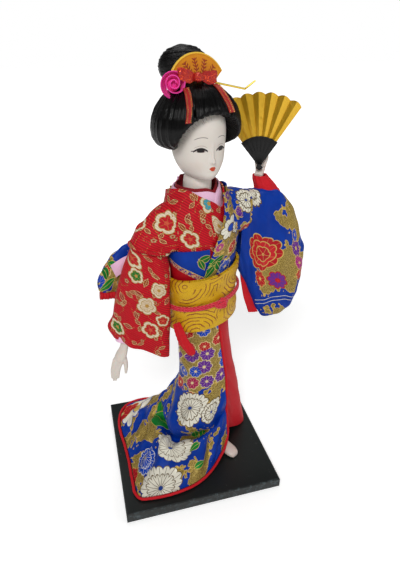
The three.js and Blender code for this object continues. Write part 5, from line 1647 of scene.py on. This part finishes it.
def leftCuffShape(s, t):
    centre = curveThrough([(53.5, -9.3, 203), (51, -7.6, 209), (48.6, -5.6, 215), (46.2, -3.9, 220.5)])(t)
    wide = np.interp(t, (0, 0.33, 0.67, 1), (8.2, 9.2, 7, 4.9))
    deep = np.interp(t, (0, 0.33, 0.67, 1), (4.6, 5.8, 6.2, 4.9))
    angle = 2 * math.pi * s
    gather = 1 + 0.035 * np.sin(9 * angle) * (0.4 + 0.6 * t)
    c, n = np.cos(angle), np.sin(angle)
    x, y = gather * (0.96 * wide * c + 0.2 * deep * n), gather * (0.96 * deep * n - 0.2 * wide * c)
    return centre[..., 0] + x, centre[..., 1] + y, centre[..., 2]


clothe("plainRed", "cuff_left", gridPiece(
    "leftCuff", 110, 40, leftCuffShape, **ringCut, wrinkles=(0.15, 7, 99),
))

collarSetup = {
    "front": -62, "high": 214.6, "x": -1.3, "y": 2.9, "wide": 18.4, "deep": 16.2, "lean": 2.8, "foot": 204.3,
    "overlap": 24,
}


def collarShape(inset, lift, spread):
    def shape(s, t):
        # The band starts under the doll's right front, goes round the neck and ends over it
        turn = collarSetup["front"] + collarSetup["overlap"] - (360 + 2 * collarSetup["overlap"]) * s
        toFront = np.minimum(collarSetup["front"] - turn, turn - collarSetup["front"] + 360)
        onRight = turn > collarSetup["front"] - 180
        high = (
            collarSetup["high"] + np.where(onRight, 6.4, 7.6)
            * (1 - np.exp(-np.maximum(toFront, -30) / np.where(onRight, 50, 34))) + lift
        )
        high = high - 1.5 * onRight * clamp((collarSetup["front"] - turn - 26) / 30)
        share = 1 - t
        lean = inset + collarSetup["lean"] * share - clamp(s * 6 - 5) * spread
        angle = np.radians(turn)
        height = collarSetup["foot"] + (high - collarSetup["foot"]) * share
        swell = 0.5 * np.sin(math.pi * share)
        x, y = ((collarSetup[key] - lean + swell) for key in ("wide", "deep"))
        return collarSetup["x"] + x * np.cos(angle), collarSetup["y"] + y * np.sin(angle), height
    return shape


clothe("pinkCloth", "collar_pink", gridPiece(
    "pinkCollar", 190, 34, collarShape(-0.1, 0, 1.1), thickness=0.9, wrinkles=(0.12, 11, 101),
))
clothe("darkRed", "collar_inner", gridPiece(
    "innerCollar", 190, 34, collarShape(1.9, 1.7, 1.0), thickness=0.8, wrinkles=(0.1, 9, 103),
))
print("collars and linings made")

beltSetup = {
    "bottom": 121, "height": 41, "tilt": 0.15, "inner": 4.525, "thickness": 2.0, "cordShare": 0.48,
    "cordRadius": 0.92, "cordAway": 8.0, "knotAngle": -86,
}


def onBelt(angle, share, offset):
    wide, deep, x, y = sectionAt(bodySections, beltSetup["bottom"] + beltSetup["height"] / 2)
    turn = np.radians(angle)
    px = x + (wide + offset) * np.cos(turn)
    return (
        px, y + (deep + offset) * np.sin(turn), beltSetup["bottom"] + beltSetup["height"] * share
        + beltSetup["tilt"] * px
    )


def beltShape(s, t):
    angle, share = -360 * s + 90, 1 - t
    flare = np.where(share > 0.5, 1.5, 0.5) * (2 * share - 1) ** 2
    pressed = -0.75 * bell(share, beltSetup["cordShare"], 0.06)
    folds = 0.35 * np.sin(share * 17 + 1.5 * np.sin(np.radians(angle) * 2)) * clamp(
        4 * share * (1 - share) * 2
    )
    return onBelt(angle, share, beltSetup["inner"] + beltSetup["thickness"] / 2 + flare + pressed + folds)


clothe("goldBrocade", "obi", gridPiece(
    "belt", 240, 80, beltShape, anchor=(0.5, 0.5), ring=True, thickness=beltSetup["thickness"],
    wrinkles=(0.18, 14, 107),
))

cordRadius = beltSetup["cordRadius"]
for cordName, rise in (("cordUpper", 0.96), ("cordLower", -0.96)):
    ringAngles = np.linspace(0, -360, 97)
    ringPoints = (
        np.stack(onBelt(ringAngles, beltSetup["cordShare"], beltSetup["cordAway"]), axis=1)
        + (0, 0, rise * cordRadius)
    )
    dress("redCord", "obi_cord" if rise > 0 else None, tubePiece(
        cordName, ringPoints, cordRadius, around=16, along=900, closed=True,
        swell=lambda s, t: (
            1 + 0.13 * np.cos(2 * math.pi * (2 * s + 62 * t)) + 0.05 * np.cos(2 * math.pi * (4 * s - 124 * t))
        ),
    ))


def knotPoint(around, lift, forward):
    base = np.array(
        onBelt(beltSetup["knotAngle"] + around, beltSetup["cordShare"], beltSetup["cordAway"] + forward),
        float,
    )
    return tuple(base + (0, 0, lift))


knotLoops = {
    "knotLoopUpper": [
        (-9, 0.5, 0.4), (-4, 2.2, 2.0), (3, 2.4, 3.0), (9, 1.2, 1.4), (4, -0.6, 3.2), (-4, -0.4, 3.6),
        (-9, 0.5, 0.4),
    ],
    "knotLoopLower": [
        (10, -0.4, 0.4), (4, -2.2, 2.0), (-3, -2.3, 3.0), (-8.5, -1.2, 1.2), (-3, 0.5, 3.4), (4, 0.8, 3.2),
        (10, -0.4, 0.4),
    ],
    "knotBand": [
        (0, -3, 1.2), (0.6, -2.4, 3.6), (1.2, 0, 4.9), (0.8, 2.4, 3.6), (0, 3, 1.2), (-0.6, 0, 0.4),
        (0, -3, 1.2),
    ],
}
for loopName, row in knotLoops.items():
    dress("redCord", "cord_knot" if loopName == "knotBand" else None, tubePiece(
        loopName, [knotPoint(*place) for place in row], 1.05, around=16, along=260, closed=True,
        swell=lambda s, t: 1 + 0.13 * np.cos(2 * math.pi * (2 * s + 16 * t))
    ))

bowSetup = {
    "y": 32.28, "z": 141.5, "inner": 3.5, "half": 43, "high": 12.5, "deep": 5.5,
    "along": (3.5, 12, 26, 35, 43),
}


def wingShape(side):
    def shape(s, t):
        x = bowSetup["inner"] + (bowSetup["half"] - bowSetup["inner"]) * clamp((t - 0.04) / 0.92)
        x = x - 2 * (t <= 0) + 0.4 * (t >= 1)
        high = bowSetup["high"] * np.interp(x, bowSetup["along"], (0.42, 0.62, 0.92, 1, 0.9))
        deep = bowSetup["deep"] * np.interp(x, bowSetup["along"], (0.75, 0.95, 1, 0.8, 0.45))
        end = np.where((t <= 0) | (t >= 1), 0.02, 1)
        angle = 2 * math.pi * s
        c, n = np.cos(angle), np.sin(angle)
        up, deepShare = squared(c, 0.75), squared(n, 0.75)
        crease = 1 - 0.26 * np.abs(np.sin(up * 5.2 + 0.5)) ** 3 * np.interp(x, (3.5, 14, 34), (1, 0.7, 0.0))
        return (
            side * x, bowSetup["y"] - 0.06 * x + deep * deepShare * end * crease,
            bowSetup["z"] - 0.28 * x + high * up * end,
        )
    return shape


for side, wingName, wingNode in ((-1, "bowWingRight", "bow_wing_right"), (1, "bowWingLeft", "bow_wing_left")):
    pad("goldBrocade", wingNode, gridPiece(
        wingName, 110, 90, wingShape(side), anchor=(0.75, 0.5), ring=True,
        wrinkles=lambda s, t, u, v: 0.3 * ripple(u, v, 16, 113) * clamp(np.minimum(t, 1 - t) * 20),
    ))


def bandShape(s, t):
    angle, level = 2 * math.pi * s, math.pi * t
    ring = np.sin(level) ** 0.6
    fold = 1 + 0.05 * np.sin(7 * angle)
    return (
        3.1 * np.cos(angle) * ring * fold, bowSetup["y"] + 6.3 * np.sin(angle) * ring * fold, bowSetup["z"]
        + 9 * np.cos(level)
    )


pad("goldBrocade", "bow_band", gridPiece("bowBand", 70, 50, bandShape, anchor=(0.75, 0.5), ring=True))

pad("plainRed", "hip_sash", tubePiece(
    "hipSash",
    [(-26.4, -11, 125.5), (-25.8, -13.8, 121), (-24.5, -17.5, 114), (-21, -21.5, 106.5), (-19.6, -23, 103)],
    lambda t: np.interp(t, (0, 0.25, 0.6, 0.9, 1), (2.4, 3.1, 3.4, 3, 1.8)), around=40, along=110,
    up=(0.85, -0.5, 0.2),
    swell=lambda s, t: 1 + 0.12 * np.sin(2 * math.pi * 5 * s + 3 * t) + 0.03 * np.sin(60 * t),
))
print("belt and bow made")


def joined(name, parts):
    pick(*parts)
    bpy.ops.object.join()
    piece = bpy.context.object
    piece.name = piece.data.name = name
    return piece


def meltTogether(name, parts, voxel, smoothing, body):
    piece = joined(name, parts)
    soften(piece, voxel, smoothing, body)
    return piece


def taper(*levels):
    return lambda t: np.interp(t, np.linspace(0, 1, len(levels)), levels)


def handParts(palm, fingers, thumb, flatten, up):
    parts = [tubePiece(
        "palmPart", [row[0] for row in palm], taper(*[row[1] for row in palm]), around=24, along=40,
        flat=flatten, up=up
    )]
    for k, (points, radii) in enumerate(fingers):
        parts.append(tubePiece("fingerPart" + str(k), points, taper(*radii), around=16, along=40, up=up))
    parts.append(tubePiece("thumbPart", thumb[0], taper(*thumb[1]), around=16, along=30, up=up))
    return parts


rightKnuckles, rightTips, handAcross = (
    np.array(row) for row in ((-64.6, 9.2, 95.5), (-69.4, 9.9, 76), (0.62, -0.78, 0.0))
)
fingerRadii, thumbRadii = (1.45, 1.3, 1.15, 0.8), (1.9, 1.8, 1.4, 0.85)
rightFingers = []
for base, tip, length in ((-3.1, -2.6, 0.9), (-1.05, -0.9, 1.0), (1.05, 0.9, 0.97), (3.0, 2.5, 0.84)):
    knuckle = rightKnuckles + handAcross * base
    end = knuckle + (rightTips - rightKnuckles) * length + handAcross * (tip - base)
    middle = (knuckle + end) / 2 + (-0.9, 0.1, 0)
    rightFingers.append(([knuckle, middle, end], fingerRadii))
dress("skin", "hand_right", meltTogether(
    "rightHand",
    handParts(
        [
            ((-58.8, 8.4, 109.6), 3.0), ((-60.2, 8.5, 104), 3.3), ((-62.6, 8.9, 98.5), 4.4),
            ((-64.8, 9.2, 94.2), 4.0),
        ],
        rightFingers,
        ([(-61.4, 8.2, 100), (-60.6, 6.4, 93), (-60.9, 5.7, 87.5), (-61.6, 5.6, 83)], thumbRadii), 0.72,
        tuple(handAcross),
    ),
    0.4, 4, "figure",
))

fanSetup = {
    "pivot": (46.6, -2.6, 226.6), "turn": -45, "radius": 47.5, "frame": 17.5, "pleats": 7, "depth": 2.2,
    "left": 40, "right": 33,
}
fanTurnAngle = math.radians(fanSetup["turn"])
fanAcross = np.array((math.cos(fanTurnAngle), math.sin(fanTurnAngle), 0))
fanFront = np.array((math.sin(fanTurnAngle), -math.cos(fanTurnAngle), 0))


def onFan(radius, spread, forward):
    turn = np.radians(spread)
    base = (
        np.array(fanSetup["pivot"]) + np.multiply.outer(radius * np.sin(turn), fanAcross)
        + np.multiply.outer(forward, fanFront)
    )
    return base + np.multiply.outer(radius * np.cos(turn), (0, 0, 1))


leftFingers = []
for spread, reach in ((-31, 13.5), (-20, 16.2), (-9, 17.2), (2, 15.2)):
    knuckle = onFan(5.5, spread * 1.25, -4.0)
    leftFingers.append((
        [knuckle, onFan((reach + 5) / 2, spread * 0.95, -3.4), onFan(reach, spread * 0.75, -3.2)],
        fingerRadii,
    ))
dress("skin", "hand_left", meltTogether(
    "leftHand",
    handParts(
        [
            ((45.3, -3.1, 218.8), 3.0), (onFan(-4.5, 0, -4.2), 3.3), (onFan(1.5, -3, -4.3), 4.2),
            (onFan(6, -6, -4.0), 3.8),
        ],
        leftFingers,
        (
            [onFan(-2.5, -60, -3.6), onFan(3.0, 70, -3.4), onFan(5.8, 46, -2.9), onFan(8.6, 34, -2.6)],
            thumbRadii,
        ),
        0.75, tuple(fanAcross),
    ),
    0.4, 4, "figure",
))
print("hands made")

# The head: rings from the chin up, with the nose, lips and eyes raised and sunk on them
headSetup = {"x": -1.0, "y": 0.5, "chin": 225.2, "top": 276.0, "wide": 17.2, "deep": 19.5}
faceRings = np.array([
    (0, 0.02, 0.62, 0.02), (0.5, 0.3, 0.78, 0.14), (1.4, 0.46, 0.85, 0.24), (3.4, 0.63, 0.905, 0.34),
    (6, 0.75, 0.93, 0.46), (9, 0.85, 0.94, 0.6), (11.2, 0.905, 0.94, 0.7), (14, 0.95, 0.93, 0.8),
    (18, 0.985, 0.925, 0.9), (24, 1, 0.965, 0.98), (31, 0.98, 0.99, 1), (37, 0.9, 0.93, 0.95),
    (42, 0.75, 0.77, 0.8), (46, 0.5, 0.5, 0.55), (48.4, 0.02, 0.02, 0.02),
])
features = (
    # Middle across, middle up, width, height and depth in millimetres
    (0.0, 12.3, 1.35, 1.6, 2.3), (0.0, 15.6, 0.95, 3.4, 1.35), (0.0, 20.2, 1.2, 3.4, 0.5),
    (-1.35, 11.9, 0.8, 0.9, 0.5), (1.35, 11.9, 0.8, 0.9, 0.5), (0.0, 8.9, 2.1, 0.8, 0.7),
    (0.0, 7.2, 1.7, 0.8, 0.7), (0.0, 8.1, 2.4, 0.3, -0.4), (0.0, 10.4, 0.5, 0.9, -0.18),
    (0.0, 3.2, 3.2, 2.3, 0.6), (0.0, 5.7, 2.2, 0.7, -0.3), (-7.0, 19.6, 3.8, 2.5, -0.95),
    (7.0, 19.6, 3.8, 2.5, -0.95), (-7.0, 19.2, 3.2, 1.5, 0.5), (7.0, 19.2, 3.2, 1.5, 0.5),
    (-9.6, 11.5, 4.8, 4.8, 0.5), (9.6, 11.5, 4.8, 4.8, 0.5),
)


def headShape(s, t):
    rise = 48.4 * (1 - t)
    wide, front, back = (
        curveThrough(np.stack([faceRings[:, 0], faceRings[:, k]], axis=1)) for k in (1, 2, 3)
    )
    share = np.interp(rise, faceRings[:, 0], np.linspace(0, 1, len(faceRings)))
    scale = (headSetup["top"] - headSetup["chin"]) / 48.6
    angle = np.radians(-90 + 360 * (s - 0.5))
    x = headSetup["wide"] * wide(share)[..., 1] * np.cos(angle)
    depth = np.where(np.sin(angle) < 0, front(share)[..., 1], back(share)[..., 1]) * headSetup["deep"]
    y = depth * np.sin(angle)
    height = rise * scale
    push = 0 * x
    for middle, level, broad, high, raised in features:
        push = push + raised * np.exp(-((x - middle) / broad) ** 2 - ((height - level) / high) ** 2)
    y = y - push * (np.sin(angle) < 0)
    return headSetup["x"] + x, headSetup["y"] + y, headSetup["chin"] + height


skull = gridPiece("skullPart", 260, 260, headShape, ring=True)
neckPart = tubePiece(
    "neckPart", [(-1, 2, 205.2), (-1, 1.9, 212), (-1, 1.4, 222), (-1, 1.0, 230)], taper(9.9, 9.6, 9.4, 8.0),
    around=64, along=40, up=(0, 1, 0),
)
pegPart = tubePiece(
    "pegPart", [(-1, 2, 189.4), (-1, 2, 198), (-1, 2, 207)], 4.9, around=40, along=24, up=(0, 1, 0),
)
head = meltTogether("headPiece", [skull, neckPart, pegPart], 0.42, 2, "head")
# The face is painted on a flat map from the front, in centimetres from the middle of the chin
headPoints = offDoll(meshPoints(head))
headIndex = loopVertices(head)
setUv(
    head,
    np.stack([headPoints[:, 0] - headSetup["x"], headPoints[:, 2] - headSetup["chin"]], axis=1)[headIndex] / 10,
)
setUv(head, np.stack([headPoints[:, 1] / 10, headPoints[:, 2] * 0], axis=1)[headIndex], "depthMap")
head.data.uv_layers.active = head.data.uv_layers[0]
dress("face", "head", head)
print("head made")

hairSetup = {
    "x": -2.0, "y": 0.5, "crown": 282.0, "low": 244.5, "wide": 28.8, "deep": 25, "bunX": -2.8, "bunY": 13.7,
    "groove": 0.22,
}


def combHair(piece, across, groove, seed):
    # Fine furrows that follow the strands; across gives each point's place over the strands and along them
    points = offDoll(meshPoints(piece))
    u, v = across(points)
    draw = np.random.default_rng(seed)
    furrow = np.zeros(len(points))
    for length, phase, bend in draw.uniform((1.1, 0, -0.5), (3.6, 6.3, 0.5), (12, 3)):
        furrow += np.sin(2 * math.pi * (u + bend * np.sin(v / 9)) / length + phase)
    points += (meshNormals(piece) @ dollInverse[:3, :3].T * 0.001) * (groove * furrow / math.sqrt(12))[:, None]
    setPoints(piece, onDoll(points))
    index = loopVertices(piece)
    setUv(piece, np.stack([u, v], axis=1)[index] / 10)


def fromCrown(points):
    # Strands run up and back over the roll towards the crown
    dx, dy = points[:, 0] - hairSetup["x"], points[:, 1] - hairSetup["y"]
    turn = np.arctan2(dy, dx)
    return turn * 20, points[:, 2]


def acrossNape(points):
    return points[:, 0] - hairSetup["x"], points[:, 2] + points[:, 1]


def roundBun(points):
    # Strands wind round the bun from its front
    turn = np.arctan2(points[:, 1] - hairSetup["bunY"], points[:, 0] - hairSetup["bunX"])
    return points[:, 2] * 1.3 + points[:, 1] * 0.25, turn * 15


for hairNode, hairName, across, swell in (
    ("hair_front_roll", "hairFrontRoll", fromCrown, 0.5),
    ("hair_side_right", "hairSideRight", fromCrown, 0.5), ("hair_side_left", "hairSideLeft", fromCrown, 0.5),
    ("hair_nape_roll", "hairNapeRoll", acrossNape, 0.4), ("hair_bun", "hairBun", roundBun, 0.4),
):
    roll = fullerCopy(hairNode, hairName, 0.62, 22, "head")
    setPoints(roll, meshPoints(roll) + meshNormals(roll) * swell / 1000)
    combHair(roll, across, hairSetup["groove"], len(hairName))
    dress("hair", hairNode, roll)
print("hair made")

combSetup = {
    "centre": (-2.8, -3.1, 278.0), "radius": 19.6, "arc": 24, "lean": 0.1, "roll": 0.07, "thickness": 1.3,
    "rim": 1.4,
}
combPlace = (
    Matrix.Translation(combSetup["centre"]) @ Matrix.Rotation(-combSetup["roll"], 4, "Y")
    @ Matrix.Rotation(math.pi / 2 - combSetup["lean"], 4, "X")
)


def combShape(s, t):
    # Fans out from the foot to the arch; a band along the rim stands a little proud
    angle = np.radians(combSetup["arc"] + (180 - 2 * combSetup["arc"]) * (1 - s))
    foot = np.stack([-7 + 14 * s, -2 + 0 * s], axis=-1)
    arch = np.stack([combSetup["radius"] * np.cos(angle), combSetup["radius"] * np.sin(angle)], axis=-1)
    flat = foot + (arch - foot) * t[..., None]
    radius = np.hypot(flat[..., 0], flat[..., 1])
    return flat[..., 0], flat[..., 1], radius


def placeComb(x, y, z):
    matrix = np.array(combPlace)
    return np.stack(np.broadcast_arrays(x, y, z), axis=-1) @ matrix[:3, :3].T + matrix[:3, 3]


def combSide(sign):
    def shape(s, t):
        x, y, radius = combShape(s, t)
        edge = combSetup["radius"] - radius
        step = 0.28 * clamp((edge - 0.3) * 3) * clamp((combSetup["rim"] - edge) * 3)
        raised = combSetup["thickness"] / 2 + step
        raised = raised * np.where((t <= 0) | (t >= 1) | (s <= 0) | (s >= 1), 0, 1)
        return placeComb(x, y, sign * raised)
    return shape


comb = joined("combPlate", [gridPiece("combHalf", 150, 110, combSide(sign), body="head") for sign in (-1, 1)])
closeSeam(comb)
smoothShade(comb, 40)
combInverse = np.linalg.inv(np.array(combPlace))
combPoints = offDoll(meshPoints(comb)) @ combInverse[:3, :3].T + combInverse[:3, 3]
setUv(comb, combPoints[:, :2][loopVertices(comb)] / 10)
dress("combGold", "comb", comb)

bowCentre = np.array((-5.4, -7.2, 284.3))
ribbonSetup = {"reach": 12.2, "deep": 2.6, "high": 6.6}


def loopShape(side):
    def shape(s, t):
        # A standing loop of ribbon: out along its front, round the end and back behind
        angle = 2 * math.pi * s
        reach = ribbonSetup["reach"] * (1 - np.cos(angle)) / 2
        share = reach / ribbonSetup["reach"]
        pinch = 0.3 + 0.7 * clamp(share * 2.2) - 0.12 * clamp(share - 0.8) * 5
        front = np.sin(angle)
        y = (
            -ribbonSetup["deep"] * front * (0.35 + 0.65 * share) - 0.5 * share + 0.35 * np.cos(t * 7 + side)
            * share
        )
        z = (0.5 - t) * ribbonSetup["high"] * pinch * (1 + 0.08 * front) - side * 0.1 * reach + 1.2 * share
        return (
            bowCentre[0] + side * (0.6 + reach), bowCentre[1] + y, bowCentre[2] + z + 0.3 * np.sin(angle * 3)
        )
    return shape


for side, loopName in ((-1, "bowLoopRight"), (1, "bowLoopLeft")):
    clothe(
        "glitter", "ribbon_bow" if side < 0 else None,
        gridPiece(loopName, 90, 20, loopShape(side), anchor=(0.5, 0.5), thickness=0.35, body="head"),
    )
pad("glitter", None, tubePiece(
    "bowKnot", [bowCentre + (-2.6, -0.5, 0.0), bowCentre + (0, -1.2, 0.1), bowCentre + (2.6, -0.5, 0.0)],
    taper(1.6, 2.5, 2.8, 2.5, 1.6), around=24, along=24, up=(0, 1, 0),
    swell=lambda s, t: 1 + 0.08 * np.sin(2 * math.pi * 5 * s), body="head",
))

hairProfile = np.array([
    (0, 0.7), (0.07, 0.89), (0.17, 0.98), (0.31, 1), (0.47, 0.97), (0.62, 0.89), (0.76, 0.75), (0.88, 0.56),
    (0.96, 0.34), (1, 0.12),
])


def frontOfHair(x, height, away):
    share = (height - hairSetup["low"]) / (hairSetup["crown"] - hairSetup["low"])
    wide = np.interp(share, hairProfile[:, 0], hairProfile[:, 1])
    dx = min(0.98, abs(x) / (hairSetup["wide"] * wide))
    depth = hairSetup["deep"] * wide * math.sqrt(1 - dx * dx)
    return np.array((
        hairSetup["x"] + x, hairSetup["y"] - depth - away * math.sqrt(1 - share * share),
        height + away * share,
    ))


def tailShape(points, width):
    spine = curveThrough([frontOfHair(x, hairSetup["crown"] - drop, 1.6) for x, drop in points])

    def shape(s, t):
        place = spine(t)
        reach = (s - 0.5) * width
        lift = 0.25 * np.sin(t * 9)
        return (
            place[..., 0] + reach, place[..., 1] + reach * 0.2 - lift - 0.3 * (2 * s - 1) ** 2, place[..., 2]
        )
    return shape


for tailName, tailNode, tailPoints in (
    ("ribbonTailRight", "ribbon_tail_right", [(-12, 4.2), (-13.5, 8.5), (-15, 14), (-17, 21)]),
    ("ribbonTailLeft", "ribbon_tail_left", [(8, 3), (9, 6.5), (10.5, 11.5), (11.8, 17)]),
):
    clothe("ribbonTail", tailNode, gridPiece(
        tailName, 16, 80, tailShape(tailPoints, 4.4), anchor=(0.5, 0.5), thickness=0.45, body="head",
    ))

roseSetup = {"centre": (-19, -4, 281), "turns": 2.8, "facing": -26, "grow": 1.12}


def roseShape(s, t):
    # One ribbon wound round itself into a dome, its outer turns opening wider
    turn = 2 * math.pi * roseSetup["turns"] * s
    level = 1 - t
    reach = 0.9 + 5.9 * s ** 0.9 + 0.22 * np.sin(turn * 1.6 + 0.6)
    radius = reach * (0.66 + 0.44 * level * (0.35 + 0.65 * s))
    y = 1.6 - level * (6.6 - 3.6 * s) - 0.5 * s * bell(level, 1, 0.3)
    x, z, facing = radius * np.cos(turn), radius * np.sin(turn), math.radians(roseSetup["facing"])
    grow, (cx, cy, cz) = roseSetup["grow"], roseSetup["centre"]
    across, back = x * math.cos(facing) - y * math.sin(facing), x * math.sin(facing) + y * math.cos(facing)
    return cx + grow * across, cy + grow * back, cz + grow * (z - 0.25 * y)


clothe("roseRibbon", "rose", gridPiece(
    "ribbonRose", 420, 24, roseShape, anchor=(0, 0.5), thickness=0.55, body="head",
))
roseCentre = np.array(roseSetup["centre"])
pad("roseRibbon", None, tubePiece(
    "roseHeart", [roseCentre + (0, step, 0) for step in (-2.6, 0, 2.8)], taper(2.0, 3.4, 4.4, 4.0), around=30,
    along=20, up=(0, 0, 1), body="head"
))
print("hair ornaments made")

# The fan: sticks that open from the rivet, and a pleated leaf with a scalloped edge
fanSteps = fanSetup["pleats"] * 2
for k in range(fanSteps + 1):
    spread = -fanSetup["left"] + (fanSetup["left"] + fanSetup["right"]) * k / fanSteps
    reach = fanSetup["frame"] + 2.2
    forward = 1.35 + (0.25 if k % 2 else -0.25)
    bpy.ops.mesh.primitive_cube_add(size=1)
    stick = bpy.context.object
    stick.name = stick.data.name = "fanStick" + str(k)
    pick(stick)
    bpy.ops.object.mode_set(mode="EDIT")
    bpy.ops.mesh.subdivide(number_cuts=5)
    bpy.ops.object.mode_set(mode="OBJECT")
    grid = meshPoints(stick) + (0, 0, 0.5)
    width = np.interp(grid[:, 2], (0, 0.12, 0.3, 1), (2.4, 1.8, 1.5, 1.95))
    place = onFan(grid[:, 2] * (reach + 2.6) - 2.6, np.full(len(grid), spread), forward + grid[:, 1] * 0.42)
    side = fanAcross * math.cos(math.radians(spread)) - np.array((0, 0, 1)) * math.sin(math.radians(spread))
    setPoints(stick, onDoll(place + np.multiply.outer(grid[:, 0] * width, side)))
    applyModifier(stick, "BEVEL", width=0.00012, segments=2, limit_method="ANGLE")
    setUv(stick, np.zeros((len(stick.data.loops), 2)))
    smoothShade(stick, 40)
    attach(stick, "fan")
    dress("fanBlack", "fan_frame" if k == 0 else None, stick)


def leafShape(s, t):
    spread = -fanSetup["left"] + (fanSetup["left"] + fanSetup["right"]) * s
    fold = np.abs((s * fanSetup["pleats"] * 2) % 2 - 1)
    level = 1 - t
    reach = fanSetup["frame"] - 1.5 + (fanSetup["radius"] - fanSetup["frame"] + 1.5) * level
    scallop = 1.7 * (1 - np.abs(np.sin(math.pi * fanSetup["pleats"] * s))) * level ** 6
    pleat = (0.5 - fold) * fanSetup["depth"] * (0.45 + 0.55 * level)
    return onFan(reach - scallop, spread, 0.85 + pleat)


fanLeaf = gridPiece("fanLeaf", 224, 40, leafShape, anchor=(0.5, 0.5), thickness=0.4, body="fan",
                    wrinkles=(0.05, 4, 131))
smoothShade(fanLeaf, 20)
dress("fanGold", "fan_leaf", fanLeaf)
print("fan made")

for footNode, footName in (("foot_left", "leftFoot"), ("foot_right", "rightFoot")):
    dress("tabi", footNode, fullerCopy(footNode, footName, 0.5, 10))
for cadName, finish in (
    ("base_board", "board"), ("leg_wire_left", "wire"), ("leg_wire_right", "wire"), ("body_core", "stuffing"),
    ("arm_right", "stuffing"), ("arm_left", "stuffing"), ("fan_rivet", "fanBlack"), ("hairpin", "brass"),
):
    paint(finish, nodes[cadName])
print("feet, board and wires dressed")
